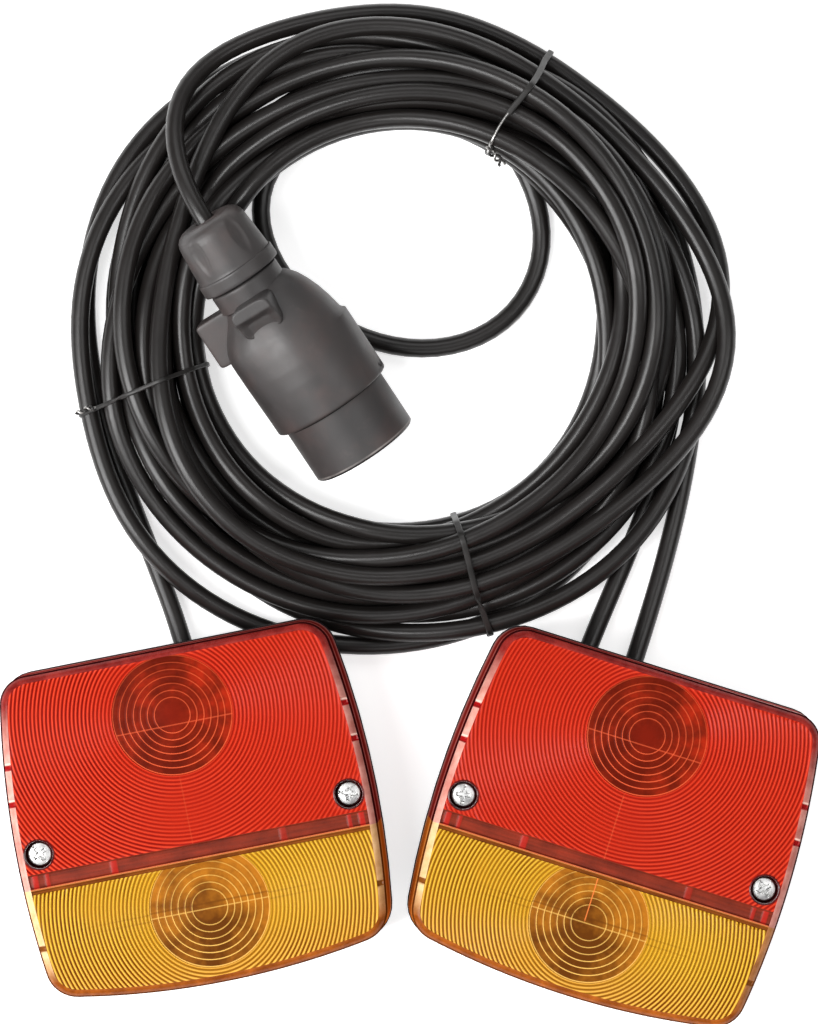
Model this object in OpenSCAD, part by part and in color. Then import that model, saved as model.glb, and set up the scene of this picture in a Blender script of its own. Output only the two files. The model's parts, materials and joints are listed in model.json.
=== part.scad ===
// Pair of trailer rear lamps on one coiled cable with a seven-way plug.
// Millimetres, +Z up, floor at z = 0. The lamps lie on their backs, amber part
// towards -Y, and the coil and the plug lie behind them.

/* [Lamp body] */
// Half of the lamp's widest measure across its bowed sides
lamp_half_w = 60.4; // [56:0.1:66]
// Height on the lamp, along its own Y, at which the sides are widest
lamp_wide_y = 10; // [0:1:20]
// Radius of the bowed sides
side_bow_r = 300; // [200:10:600]
// Distance from the colour seam to the straight edge beyond the red part
red_h = 69.6; // [60:0.1:76]
// Distance from the colour seam to the bowed edge below the amber part
amber_h = 42.7; // [38:0.1:50]
// Radius of the bowed amber edge
bottom_bow_r = 270; // [200:10:600]
// Corner radius beside the straight edge
corner_top_r = 11; // [9:0.5:14]
// Corner radius beside the bowed edge
corner_bottom_r = 12; // [9:0.5:14]
// Depth of the rear tray below the flange
tray_d = 12.5; // [11:0.5:16]
// How far the tray stands back from the flange's edge
tray_inset = 9; // [8:0.5:12]
// Wall of the moulded tray
tray_wall = 2; // [1.6:0.1:2.6]
// Floor of the moulded tray
tray_floor = 2.2; // [1.8:0.1:3]
// Thickness of the flange that the lens sits on
flange_t = 2.5; // [2:0.1:3.5]

/* [Lens] */
// Height of the lens face over the floor
lens_top_z = 48; // [44:0.5:56]
// Wall of the lens
lens_wall = 2.2; // [1.8:0.1:3]
// Draft of the lens wall from flange to shoulder, measured inwards
lens_draft = 1.8; // [1:0.1:3]
// Width of the bevelled shoulder around the ribbed face
lens_bevel = 2.2; // [1.5:0.1:3]
// Distance of each lens screw from the lamp's centre line
screw_x = 51.3; // [49:0.1:52]
// Height of the lens screws above the colour seam
screw_y = 11.1; // [9:0.1:16]
// Radius of the well that hides a screw head
well_r = 5.2; // [4.8:0.1:5.6]
// Height of the floor of the screw well
well_z = 41; // [36:0.5:44]
// Distance of the red ring pattern's centre from the colour seam
tail_y = 47.3; // [40:0.1:50]
// Distance of the amber ring pattern's centre from the colour seam, downwards
indicator_y = 16.2; // [14:0.1:20]
// Radius of the round optic over each bulb
optic_r = 19.4; // [16:0.1:22]

/* [Fixings] */
// Distance between the two mounting holes in the tray
mount_pitch = 60; // [50:1:64]
// Height of the mounting holes above the colour seam
mount_y = 15; // [12:1:18]
// Radius of the mounting holes
mount_hole_r = 2.75; // [2.1:0.05:3.2]

/* [Lamp places] */
// Left lamp's seam centre, along X
left_x = -67.8; // [-72:0.1:-66]
// Left lamp's seam centre, along Y
left_y = -10.4; // [-16:0.1:-8]
// Left lamp's turn, anticlockwise
left_turn = 11.1; // [5:0.1:15]
// Right lamp's seam centre, along X
right_x = 63.3; // [62:0.1:68]
// Right lamp's seam centre, along Y
right_y = -16; // [-20:0.1:-12]
// Right lamp's turn, anticlockwise
right_turn = -17.4; // [-20:0.1:-10]

/* [Cable] */
// Outer diameter of the cable
cable_d = 6.2; // [5.6:0.1:6.4]
// Height at which the cables enter the trays
entry_z = 6.6; // [6:0.1:7]
// Coil centre along X
coil_x = -3; // [-6:0.5:0]
// Coil centre along Y
coil_y = 163.2; // [160:0.1:168]
// Inner radius of the wide lower part of the coil
coil_in = 66; // [60:0.5:70]
// Outer radius of the wide lower part of the coil
coil_out = 110; // [106:0.5:111]
// Height of the coil
coil_h = 21; // [19:0.5:22]
// Thickness of the ties around the coil
tie_t = 0.8; // [0.5:0.1:1.2]
// Width of the ties, as degrees around the coil
tie_deg = 1.4; // [1:0.1:3]

/* [Plug] */
// Length of the plug from the gland nut's end to the nose
plug_len = 93; // [92:0.5:94]
// Radius of the nose that enters the socket
nose_r = 18.4; // [18.2:0.1:18.6]
// Radius of the barrel
barrel_r = 20.8; // [20.2:0.1:21.4]
// Downward tilt of the nose where it lies
plug_tilt = 11; // [9:0.5:13]
// Heading of the nose over the floor
plug_turn = -56.4; // [-60:0.1:-50]
// Sideways offset of the cable neck from the barrel's axis
neck_off = 2.1; // [0:0.1:2.5]
// Radius of the circle that the outer six contacts stand on
pin_circle_r = 10; // [9.5:0.1:10.5]
// Radius of one contact pin
pin_r = 2.4; // [2:0.1:2.5]

/* [Hidden] */
$fn = 48;

cable_r = cable_d / 2;
flange_z = tray_d;
rim_z = tray_d + flange_t;      // top of the flange
gasket_z = rim_z + 1;           // the lens starts here
shoulder_z = lens_top_z - 3;
entries_left = [6.5];
entries_right = [-25.5, -9.5];
clamp_left = [-1.5, 14.5];
clamp_right = [-33.5, -17.5, -1.5];
bulb_z = 28;

// ---------- outline of the lamp ----------
function dir(c, r, a) = [c[0] + r * cos(a), c[1] + r * sin(a)];
function arc(c, r, a0, a1, n) = [for (k = [0:n]) dir(c, r, a0 + (a1 - a0) * k / n)];
function bearing(p, q) = atan2(q[1] - p[1], q[0] - p[0]);
function tail(v) = [for (k = [1:len(v) - 1]) v[k]];
side_c = [lamp_half_w - side_bow_r, lamp_wide_y];
foot_c = [0, bottom_bow_r - amber_h];
// centre of the corner beside the straight edge
function top_c(i, rt) = let (y = red_h - i - rt, d = side_bow_r - i - rt)
    [side_c[0] + sqrt(d * d - (y - lamp_wide_y) * (y - lamp_wide_y)), y];
// centre of the corner between the bowed side and the bowed foot
function low_c(i, rb) = let (
    r0 = side_bow_r - i - rb, r1 = bottom_bow_r - i - rb,
    v = foot_c - side_c, d = norm(v),
    a = (r0 * r0 - r1 * r1 + d * d) / (2 * d), h = sqrt(r0 * r0 - a * a),
    m = side_c + v * (a / d))
    [m[0] + h * v[1] / d, m[1] - h * v[0] / d];
function half_outline(i, rt, rb) = let (
    t = top_c(i, rt), l = low_c(i, rb),
    a_foot = bearing(foot_c, l), a_low = bearing(side_c, l), a_top = bearing(side_c, t))
    concat(
        arc(foot_c, bottom_bow_r - i, -90, a_foot, 4),
        tail(arc(l, rb, a_foot, a_low, 6)),
        tail(arc(side_c, side_bow_r - i, a_low, a_top, 7)),
        tail(arc(t, rt, a_top, 90, 6)));
// closed outline, inset by i, with its own corner radii
function outline(i, rt, rb) = let (h = half_outline(i, rt, rb), n = len(h))
    concat(h, [for (k = [n - 1:-1:1]) [-h[k][0], h[k][1]]]);
function rim(i) = outline(i, corner_top_r - i, corner_bottom_r - i);

module plate(z, t, i) translate([0, 0, z]) linear_extrude(t) polygon(rim(i));
module ring_wall(z, t, i0, i1) translate([0, 0, z]) linear_extrude(t) difference() {
    polygon(rim(i0));
    polygon(rim(i1));
}

// solid through a list of equal rings of points, closed at both ends
module loft(rings) {
    n = len(rings[0]);
    m = len(rings);
    polyhedron(
        [for (r = rings) each r],
        concat(
            [[for (k = [n - 1:-1:0]) (m - 1) * n + k]],
            [[for (k = [0:n - 1]) k]],
            [for (j = [0:m - 2]) for (k = [0:n - 1])
                [j * n + k, (j + 1) * n + k, (j + 1) * n + (k + 1) % n, j * n + (k + 1) % n]]));
}
function at_z(o, z) = [for (p = o) [p[0], p[1], z]];

// ---------- tube along a route ----------
function unit(v) = v / norm(v);
function heading(p, k) = k == 0 ? unit(p[1] - p[0])
    : k == len(p) - 1 ? unit(p[k] - p[k - 1]) : unit(unit(p[k + 1] - p[k]) + unit(p[k] - p[k - 1]));
function hoop(c, t, r, n, up) = let (s = unit(cross(up, t)), u = cross(t, s))
    [for (k = [0:n - 1]) c + r * (cos(360 * k / n) * s + sin(360 * k / n) * u)];
module tube(route, r, n, up = [0, 0, 1]) loft([for (k = [0:len(route) - 1]) hoop(route[k], heading(route, k), r, n, up)]);

// ---------- lamp ----------
module place_left() translate([left_x, left_y, 0]) rotate([0, 0, left_turn]) children();
module place_right() translate([right_x, right_y, 0]) rotate([0, 0, right_turn]) children();

socket_feet = [[29, tail_y], [29, -indicator_y]];
rivet_places = [for (f = socket_feet) for (s = [-1, 1]) [f[0] + 4.5 * s, f[1]]];
block_c = [0, 13];

module lamp_base(entries, posts) color([0.07, 0.07, 0.075]) difference() {
    union() {
        difference() {
            union() {
                linear_extrude(flange_z) polygon(outline(tray_inset, 16, 16));
                plate(flange_z, flange_t, 0);
                ring_wall(rim_z, 3, 3.4, 4.8);
            }
            translate([0, 0, tray_floor]) linear_extrude(40)
                polygon(outline(tray_inset + tray_wall, 14, 14));
        }
        for (s = [-1, 1]) {
            translate([s * screw_x, screw_y, 0]) cylinder(r = 4.5, h = 22);
            translate([s * mount_pitch / 2, mount_y, 0]) cylinder(r = 5.5, h = 6);
        }
        // posts that carry the cable clamp
        for (x = posts) translate([x, 51, 0]) cylinder(r = 3, h = entry_z, $fn = 24);
        // cradles under the cables
        for (x = entries) translate([x - 3, 48.5, tray_floor - 0.2]) cube([6, 5, entry_z - cable_r - tray_floor + 0.2]);
    }
    for (s = [-1, 1]) {
        translate([s * screw_x, screw_y, 6]) cylinder(r = 1.75, h = 30, $fn = 24);
        translate([s * mount_pitch / 2, mount_y, -1]) cylinder(r = mount_hole_r, h = 10);
    }
    for (x = entries) translate([x, 66, entry_z]) rotate([90, 0, 0]) cylinder(r = 4.2, h = 12);
    for (x = posts) translate([x, 51, 2.5]) cylinder(r = 1.15, h = 10, $fn = 24);
    for (p = rivet_places) translate([p[0], p[1], -1]) cylinder(r = 1.3, h = 6, $fn = 24);
}

module lamp_gasket() color([0.03, 0.03, 0.03]) ring_wall(rim_z, 1, 0.8, 2.4);

module lens_body() loft([
    at_z(rim(0.4), gasket_z), at_z(rim(0.4 + lens_draft), shoulder_z),
    at_z(rim(0.4 + lens_draft + 0.6), lens_top_z - 1.4),
    at_z(rim(0.4 + lens_draft + lens_bevel), lens_top_z)]);
module lens_room() loft([
    at_z(rim(0.4 + lens_wall - 0.05), gasket_z - 1),
    at_z(rim(0.4 + lens_wall + lens_draft), shoulder_z - 0.6),
    at_z(rim(0.4 + lens_wall + lens_draft + lens_bevel - 0.6), lens_top_z - lens_wall)]);

module red_lens() color([0.85, 0.1, 0.06, 0.8]) difference() {
    union() {
        difference() {
            intersection() {
                lens_body();
                translate([-100, 0, 0]) cube([200, 100, 80]);
            }
            lens_room();
        }
        // columns around the two screw wells
        intersection() {
            lens_body();
            for (s = [-1, 1]) translate([s * screw_x, screw_y, 22]) cylinder(r = 6.4, h = 40);
        }
        // thicker round optic in front of the bulb
        translate([0, tail_y, lens_top_z - lens_wall - 0.9]) cylinder(r = optic_r, h = 1.5);
    }
    for (s = [-1, 1]) translate([s * screw_x, screw_y, 0]) {
        translate([0, 0, well_z]) cylinder(r = well_r, h = 20);
        cylinder(r = 2.3, h = 60);
    }
}

module amber_lens() color([0.95, 0.6, 0.1, 0.8]) union() {
    difference() {
        intersection() {
            lens_body();
            translate([-100, -100, 0]) cube([200, 100, 80]);
        }
        lens_room();
    }
    // thicker round optic in front of the bulb, cut off by the colour seam
    intersection() {
        translate([0, -indicator_y, lens_top_z - lens_wall - 0.9]) cylinder(r = optic_r, h = 1.5);
        translate([-100, -100, 0]) cube([200, 100, 80]);
    }
}

// pan-head screws through the lens into the posts of the base
module lens_screws() color([0.75, 0.76, 0.78]) for (s = [-1, 1]) translate([s * screw_x, screw_y, 0]) difference() {
    union() {
        rotate_extrude() polygon([[0, well_z], [4, well_z], [4, well_z + 1.6], [3.6, well_z + 2.3], [2.6, well_z + 2.8], [0, well_z + 3]]);
        translate([0, 0, 10]) cylinder(r = 1.75, h = well_z - 9.5, $fn = 24);
    }
    for (a = [0, 90]) rotate([0, 0, a + 20 * s]) translate([-2.2, -0.45, well_z + 1.4]) cube([4.4, 0.9, 3]);
}

module reflector() color([0.86, 0.87, 0.88]) translate([0, 0, rim_z]) linear_extrude(0.8) difference() {
    polygon(rim(5));
    for (y = [tail_y, -indicator_y]) {
        translate([0, y]) circle(r = 16.5);
        translate([10, y - 9.6]) square([36, 19.2]);
    }
    for (s = [-1, 1]) translate([s * screw_x, screw_y]) circle(r = 4.7);
    // slots for the divider's feet
    for (s = [-1, 1]) translate([s * 34 - 5.2, 1.5]) square([10.4, 1.8]);
}

// light baffle between the red and the amber chamber
module divider() color([0.12, 0.12, 0.13]) {
    translate([-50, 1.6, rim_z + 0.8]) cube([100, 1.6, 27.5]);
    for (s = [-1, 1]) {
        translate([s * 34 - 5, 1.6, rim_z - 2]) cube([10, 1.6, 3]);
        for (x = [30, 42.5]) translate([s * x - 0.6, 3.1, rim_z + 0.8]) cube([1.2, 1.5, 27.5]);
    }
}

// a bulb lies along the lamp's X axis, its cap towards +X
module along(y) translate([0, y, bulb_z]) rotate([0, -90, 0]) children();
module bulb_glass() rotate_extrude() polygon([
    [0, 12.6], [3.5, 12.2], [7, 10.8], [10, 8], [11.9, 4], [12.4, 0], [11.8, -4], [10.2, -7.5], [8, -11], [7.2, -14], [7.2, -16],
    [6.4, -16], [6.4, -14], [7.3, -10.7], [9.5, -7.2], [11, -3.8], [11.6, 0], [11.1, 3.7], [9.3, 7.4], [6.5, 10], [3.2, 11.4], [0, 11.8]]);
module bulb_cap() {
    rotate_extrude() polygon([[0, -17.4], [6.3, -17.4], [6.3, -16], [7.5, -16], [7.5, -33.5], [6.8, -35], [2.4, -35], [2.4, -36.4], [0, -36.4]]);
    // bayonet pins
    translate([0, 0, -26]) rotate([90, 0, 0]) cylinder(r = 0.9, h = 17.6, center = true, $fn = 24);
    // glass stem that carries the filament
    translate([0, 0, -17.5]) cylinder(r1 = 5.2, r2 = 1.6, h = 8, $fn = 24);
}
module tail_bulb_glass() color([0.9, 0.92, 0.95, 0.4]) along(tail_y) bulb_glass();
module tail_bulb_cap() color([0.7, 0.66, 0.5]) along(tail_y) bulb_cap();
module indicator_bulb_glass() color([0.9, 0.92, 0.95, 0.4]) along(-indicator_y) bulb_glass();
module indicator_bulb_cap() color([0.7, 0.66, 0.5]) along(-indicator_y) bulb_cap();

// sheet-metal cup with bayonet slots on a folded foot
module socket(y) color([0.78, 0.79, 0.8]) difference() {
    union() {
        along(y) difference() {
            translate([0, 0, -38.6]) cylinder(r = 8.6, h = 19.6);
            translate([0, 0, -37.6]) cylinder(r = 7.7, h = 30);
        }
        translate([22.5, y, 0]) for (s = [-1, 1])
            translate([0, s * 7.9 - 0.6, tray_floor]) cube([13, 1.2, bulb_z - tray_floor]);
        translate([22.5, y - 8.5, tray_floor]) cube([13, 17, 1.2]);
    }
    along(y) translate([0, 0, -27.2]) for (s = [-1, 1]) translate([-1.2, s * 8 - 1.6, 0]) cube([2.4, 3.2, 20]);
    along(y) translate([0, 0, -37.6]) cylinder(r = 7.7, h = 30);
    for (s = [-1, 1]) translate([29 + 4.5 * s, y, 0]) cylinder(r = 1.3, h = 6, $fn = 24);
}
module tail_socket() socket(tail_y);
module indicator_socket() socket(-indicator_y);
module contact_plates() color([0.8, 0.62, 0.25])
    for (y = [tail_y, -indicator_y]) along(y) translate([0, 0, -37.6]) cylinder(r = 4.5, h = 1.2);
module socket_rivets() color([0.8, 0.8, 0.8]) for (p = rivet_places) translate([p[0], p[1], 0]) {
    translate([0, 0, tray_floor + 1.2]) cylinder(r = 2.3, h = 1, $fn = 24);
    translate([0, 0, 0.4]) cylinder(r = 1.3, h = tray_floor + 1.2, $fn = 24);
}

module terminal_block() color([0.8, 0.8, 0.76]) difference() {
    translate([block_c[0] - 13, block_c[1] - 5, tray_floor]) cube([26, 10, 8.4]);
    for (x = [-8, 0, 8]) {
        translate([block_c[0] + x, block_c[1] - 6, tray_floor + 3.2]) rotate([-90, 0, 0]) cylinder(r = 1.6, h = 12, $fn = 24);
        translate([block_c[0] + x, block_c[1], tray_floor + 4]) cylinder(r = 1.5, h = 10, $fn = 24);
    }
}
// one kind of small screw holds the clamp and the cores
module small_screw(z0, z1) {
    translate([0, 0, z0]) cylinder(r = 1.15, h = z1 - z0, $fn = 24);
    translate([0, 0, z1]) difference() {
        cylinder(r = 2.4, h = 1.2, $fn = 24);
        translate([-3, -0.35, 0.6]) cube([6, 0.7, 2]);
    }
}
module small_screws(posts) color([0.75, 0.76, 0.78]) {
    for (x = [-8, 0, 8]) translate([block_c[0] + x, block_c[1], 0]) small_screw(tray_floor + 5, tray_floor + 8.4);
    for (x = posts) translate([x, 51, 0]) small_screw(4, entry_z + 4.4);
}
module cable_clamp(entries, posts) color([0.12, 0.12, 0.13]) difference() {
    translate([posts[0] - 3.4, 48.5, entry_z]) cube([posts[len(posts) - 1] - posts[0] + 6.8, 5, 4.4]);
    for (x = entries) translate([x, 60, entry_z]) rotate([90, 0, 0]) cylinder(r = cable_r, h = 20, $fn = 32);
    for (x = posts) translate([x, 51, 0]) cylinder(r = 1.2, h = 20, $fn = 24);
}
// rubber bushes where the cables pass the tray wall
module grommets(entries) color([0.05, 0.05, 0.05]) for (x = entries) translate([x, red_h - tray_inset, entry_z])
    rotate([90, 0, 0]) rotate_extrude() polygon([
        [cable_r, -4], [4.6, -4], [5.3, -1.5], [5.3, 0], [4.2, 0], [4.2, tray_wall], [4.38, tray_wall], [4.38, tray_wall + 1.4], [cable_r, tray_wall + 1.4]]);

// cores from each sheath's end to the block, and on to the sockets; the second
// cable's core shares the middle terminal and passes over the first cable's cores
module inner_wires(entries) color([0.3, 0.25, 0.2]) {
    for (j = [0:len(entries) - 1]) let (e = entries[j], up = 5 * j)
        for (k = [-1, 0, 1]) if (j == 0 || k == 0) let (x = k * 8 + (len(entries) > 1 && k == 0 ? 1.5 * j - 0.75 : 0))
            tube([[e + k * 1.9, 44.8, entry_z], [e + k * 2.6, 40, entry_z - 1 + up * 0.4], [(e + k * 2.6) * 0.7 + x * 0.3, 32, 5 + up],
                [(e + k * 2) * 0.3 + x * 0.7, 25, 5 + up], [x, 20.5, 5.4], [x, 16.5, 5.4]], 0.7, 6);
    tube([[8, 9.5, 5.4], [10, 3, 5], [16, 0, 4.6], [24, -1, 4.6], [34, -2, 5], [41, -5, 8], [43, -10, 16], [42, -14, 24], [38.9, -indicator_y, bulb_z]], 0.7, 6);
    tube([[-8, 9.5, 5.4], [-6, 4.5, 7], [4, 4, 9], [20, 5, 10], [38, 8, 9], [44, 24, 10], [44, 39, 13], [42.5, 44, 22], [38.9, tail_y, bulb_z]], 0.7, 6);
}

// ---------- plug ----------
// the plug is drawn standing on its gland nut, nose up, and then laid down
nose_c = [-14.5, 122.5, nose_r * cos(plug_tilt)];
plug_dir = [cos(plug_tilt) * cos(plug_turn), cos(plug_tilt) * sin(plug_turn), -sin(plug_tilt)];
plug_o = nose_c - plug_len * plug_dir;
module lay_plug() translate(plug_o) rotate([0, 90 + plug_tilt, plug_turn]) children();
module neck() translate([0, -neck_off, 0]) children();
// turns about the plug's axis, counted from the top towards the coil's side
module around(a) rotate([0, 0, a + 180]) children();
seam_t = 73;      // joint between shell and front

module plug_shell() color([0.33, 0.31, 0.3]) lay_plug() difference() {
    union() {
        rotate_extrude($fn = 72) polygon([
            [0, 26], [12.3, 26], [13.8, 28.2], [15.1, 30.6], [16.9, 34], [18.3, 38], [18.9, 42], [19.1, 46],
            [barrel_r, 46.2], [barrel_r, 71.4], [barrel_r - 0.5, 72.6], [barrel_r - 1.2, seam_t], [0, seam_t]]);
        neck() translate([0, 0, 9]) cylinder(r = 11, h = 14, $fn = 64);
        neck() translate([0, 0, 22.6]) cylinder(r = 12.3, h = 8, $fn = 64);
        // catch for the socket's lid
        around(18) rotate([90, 0, 0]) translate([0, 0, -7.5]) linear_extrude(15)
            polygon([[8, 29.3], [23.2, 29.3], [23.8, 30], [23.8, 34.6], [18, 41], [8, 41]]);
        // finger rib
        around(105) translate([8, -7, 28]) cube([16.4, 14, 15.5]);
    }
    neck() translate([0, 0, 5]) cylinder(r = 8.8, h = 30);
    rotate_extrude($fn = 72) polygon([[0, 33], [11.6, 33], [14.4, 36], [16, 42], [16.4, 48], [16.4, 59], [18.1, 59], [18.1, 80], [0, 80]]);
    // screw that holds the front in
    around(200) translate([15, 0, 66]) rotate([0, 90, 0]) cylinder(r = 1.6, h = 10, $fn = 24);
    around(200) translate([barrel_r - 1.4, 0, 66]) rotate([0, 90, 0]) cylinder(r = 3, h = 10, $fn = 32);
}
module plug_front() color([0.34, 0.32, 0.31]) lay_plug() difference() {
    rotate_extrude($fn = 72) polygon([[15.9, 59], [18.1, 59], [18.1, seam_t], [nose_r, seam_t + 0.02], [nose_r, plug_len - 0.6], [nose_r - 0.5, plug_len],
        [16.6, plug_len], [16.2, plug_len - 0.6], [16.2, 74], [15.9, 74]]);
    around(200) translate([13, 0, 66]) rotate([0, 90, 0]) cylinder(r = 1.2, h = 10, $fn = 24);
}
pin_places = [[0, 0], for (k = [0:5]) [pin_circle_r * cos(60 * k + 30), pin_circle_r * sin(60 * k + 30)]];
module plug_carrier() color([0.15, 0.15, 0.15]) lay_plug() difference() {
    translate([0, 0, 60]) cylinder(r = 15.9, h = 14, $fn = 72);
    for (p = pin_places) translate([p[0], p[1], 50]) cylinder(r = pin_r, h = 40);
    around(200) translate([13, 0, 66]) rotate([0, 90, 0]) cylinder(r = 1.2, h = 10, $fn = 24);
}
module plug_pins() color([0.83, 0.69, 0.36]) lay_plug() for (p = pin_places) translate([p[0], p[1], 0]) difference() {
    rotate_extrude() polygon([[0, 52], [pin_r, 52], [pin_r, 84], [pin_r - 0.7, 85], [0, 85]]);
    translate([-0.35, -5, 76]) cube([0.7, 10, 12]);
    translate([0, 0, 50]) cylinder(r = 1.25, h = 7, $fn = 24);
    rotate([0, 0, atan2(p[1], p[0])]) translate([0.5, 0, 55.5]) rotate([0, 90, 0]) cylinder(r = 0.9, h = 5, $fn = 24);
}
module plug_pin_screws() color([0.75, 0.76, 0.78]) lay_plug() for (p = pin_places)
    translate([p[0], p[1], 55.5]) rotate([0, 0, atan2(p[1], p[0])]) rotate([0, 90, 0]) difference() {
        translate([0, 0, 0.85]) cylinder(r = 0.9, h = 2.35, $fn = 24);
        translate([-2, -0.2, 2.8]) cube([4, 0.4, 2]);
    }
module plug_body_screw() color([0.75, 0.76, 0.78]) lay_plug() around(200) translate([0, 0, 66]) rotate([0, 90, 0]) difference() {
    union() {
        translate([0, 0, 14.2]) cylinder(r = 1.2, h = 6, $fn = 24);
        translate([0, 0, barrel_r - 1.4]) cylinder(r = 2.6, h = 1.2, $fn = 32);
    }
    translate([-3, -0.35, barrel_r - 0.8]) cube([6, 0.7, 2]);
}
module plug_gland_nut() color([0.36, 0.34, 0.33]) lay_plug() neck() difference() {
    rotate_extrude($fn = 64) polygon([[3.4, 0], [9.2, 0], [11.2, 0.9], [12.3, 3], [13.2, 16.4], [13.9, 16.8], [13.9, 21.6], [13.4, 22.1], [11.05, 22.1], [11.05, 5], [3.4, 5]]);
    for (a = [0:45:315]) rotate([0, 0, a + 10]) translate([12.35, -9, 5]) cube([6, 18, 10.6]);
}
module plug_gland_bush() color([0.1, 0.1, 0.1]) lay_plug() neck() rotate_extrude()
    polygon([[cable_r + 0.02, 5], [8.6, 5], [8.6, 20], [7.8, 22], [cable_r + 0.02, 22]]);
module plug_core_wires() color([0.5, 0.3, 0.2]) lay_plug() for (j = [0:6]) let (p = pin_places[j], a = 60 * j)
    tube([[j == 0 ? 0 : 1.9 * cos(a), (j == 0 ? 0 : 1.9 * sin(a)) - neck_off, 26.2],
        [j == 0 ? 0 : 2.4 * cos(a), (j == 0 ? 0 : 2.4 * sin(a)) - neck_off, 30.5],
        [p[0] * 0.35, p[1] * 0.35 - 1.6, 37], [p[0] * 0.75, p[1] * 0.75 - 0.8, 44], [p[0], p[1], 49], [p[0], p[1], 56.5]], 0.8, 6, [1, 0.3, 0]);

// ---------- cable ----------
// section of the coil: a wide low heap with a narrower one on it
module heap(g) {
    z0 = tie_t - g;
    low_h = 8.7 + 2 * g;
    translate([coil_in - g + low_h / 2, z0]) square([coil_out - coil_in + 2 * g - low_h, low_h]);
    for (x = [coil_in - g + low_h / 2, coil_out + g - low_h / 2]) translate([x, z0 + low_h / 2]) circle(r = low_h / 2, $fn = 40);
    top_r = 8 + g;
    for (x = [coil_in + 11, coil_out - 18]) translate([x, coil_h - 8]) circle(r = top_r, $fn = 48);
    translate([coil_in + 11, coil_h - 8 - top_r]) square([coil_out - coil_in - 29, 2 * top_r]);
}
module cable_coil() color([0.06, 0.06, 0.065]) translate([coil_x, coil_y, 0]) rotate_extrude($fn = 120) heap(0);
module tie(a) color([0.12, 0.12, 0.12]) translate([coil_x, coil_y, 0]) rotate([0, 0, a - tie_deg / 2])
    rotate_extrude(angle = tie_deg, $fn = 120) difference() {
        heap(tie_t);
        heap(0);
    }

// the lead from the gland nut over the coil's back and into it
plug_in = plug_o + 26 * plug_dir + neck_off * [sin(plug_turn), -cos(plug_turn), 0];
plug_out = plug_o - 1 * plug_dir + neck_off * [sin(plug_turn), -cos(plug_turn), 0];
plug_route = [plug_in, plug_o + 12 * plug_dir + neck_off * [sin(plug_turn), -cos(plug_turn), 0], plug_out,
    [-70.5, 203, 36], [-74, 210, 34.5], [-78.5, 219, 30.5], [-82, 229, 26.5], [-82.5, 238, 22], [-78, 246, 17], [-70, 251, 12.5], [-60, 254, 9], [-50, 256, 6.5]];
inner_route = [[-50, 219, 9], [-52, 211, 6], [-51.5, 203, 4], [-49, 193, 3.1], [-42, 181, 3.1], [-29, 166, 3.1], [-12, 158, 3.1],
    [7, 154, 3.1], [24, 157, 3.1], [37, 166, 3.1], [46, 181, 3.1], [47.5, 196, 3.6], [43, 209, 6], [34, 221, 9]];
// straight through the tray wall, from x on the lamp's straight edge
function inside(x, o, a) = [for (y = [66, 58, 45]) [o[0] + x * cos(a) - y * sin(a), o[1] + x * sin(a) + y * cos(a), entry_z]];
left_route = concat([[-106, 141, 5], [-103, 131, 4], [-99, 117, 3.1], [-92.5, 100, 3.1], [-86.5, 83, 3.1], [-80.5, 70, 4], [-76.4, 62, 5.8]],
    inside(entries_left[0], [left_x, left_y], left_turn));
in_route = concat([[86, 126, 5.5], [85, 117, 5], [83.5, 105, 4], [80.5, 94, 3.1], [76, 82, 3.1], [68.5, 70, 4], [62, 61, 6]],
    inside(entries_right[0], [right_x, right_y], right_turn));
out_route = concat([[92.4, 126, 5.5], [92.2, 114, 5], [91, 102, 4], [88.5, 89, 3.1], [85, 77, 3.1], [80.5, 66, 4], [76.6, 57, 6]],
    inside(entries_right[1], [right_x, right_y], right_turn));
module cable(route) color([0.06, 0.06, 0.065]) tube(route, cable_r, 10);

place_left() lamp_base(entries_left, clamp_left);  // left_base
place_left() lamp_gasket();  // left_gasket
place_left() red_lens();  // left_red_lens
place_left() amber_lens();  // left_amber_lens
place_left() lens_screws();  // left_lens_screws
place_left() reflector();  // left_reflector
place_left() divider();  // left_divider
place_left() tail_bulb_glass();  // left_tail_bulb_glass
place_left() tail_bulb_cap();  // left_tail_bulb_cap
place_left() indicator_bulb_glass();  // left_indicator_bulb_glass
place_left() indicator_bulb_cap();  // left_indicator_bulb_cap
place_left() tail_socket();  // left_tail_socket
place_left() indicator_socket();  // left_indicator_socket
place_left() contact_plates();  // left_contact_plates
place_left() socket_rivets();  // left_socket_rivets
place_left() terminal_block();  // left_terminal_block
place_left() small_screws(clamp_left);  // left_small_screws
place_left() inner_wires(entries_left);  // left_inner_wires
place_left() grommets(entries_left);  // left_grommet
place_left() cable_clamp(entries_left, clamp_left);  // left_cable_clamp
place_right() lamp_base(entries_right, clamp_right);  // right_base
place_right() lamp_gasket();  // right_gasket
place_right() red_lens();  // right_red_lens
place_right() amber_lens();  // right_amber_lens
place_right() lens_screws();  // right_lens_screws
place_right() reflector();  // right_reflector
place_right() divider();  // right_divider
place_right() tail_bulb_glass();  // right_tail_bulb_glass
place_right() tail_bulb_cap();  // right_tail_bulb_cap
place_right() indicator_bulb_glass();  // right_indicator_bulb_glass
place_right() indicator_bulb_cap();  // right_indicator_bulb_cap
place_right() tail_socket();  // right_tail_socket
place_right() indicator_socket();  // right_indicator_socket
place_right() contact_plates();  // right_contact_plates
place_right() socket_rivets();  // right_socket_rivets
place_right() terminal_block();  // right_terminal_block
place_right() small_screws(clamp_right);  // right_small_screws
place_right() inner_wires(entries_right);  // right_inner_wires
place_right() grommets(entries_right);  // right_grommets
place_right() cable_clamp(entries_right, clamp_right);  // right_cable_clamp
plug_shell();
plug_front();
plug_carrier();
plug_pins();
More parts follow.
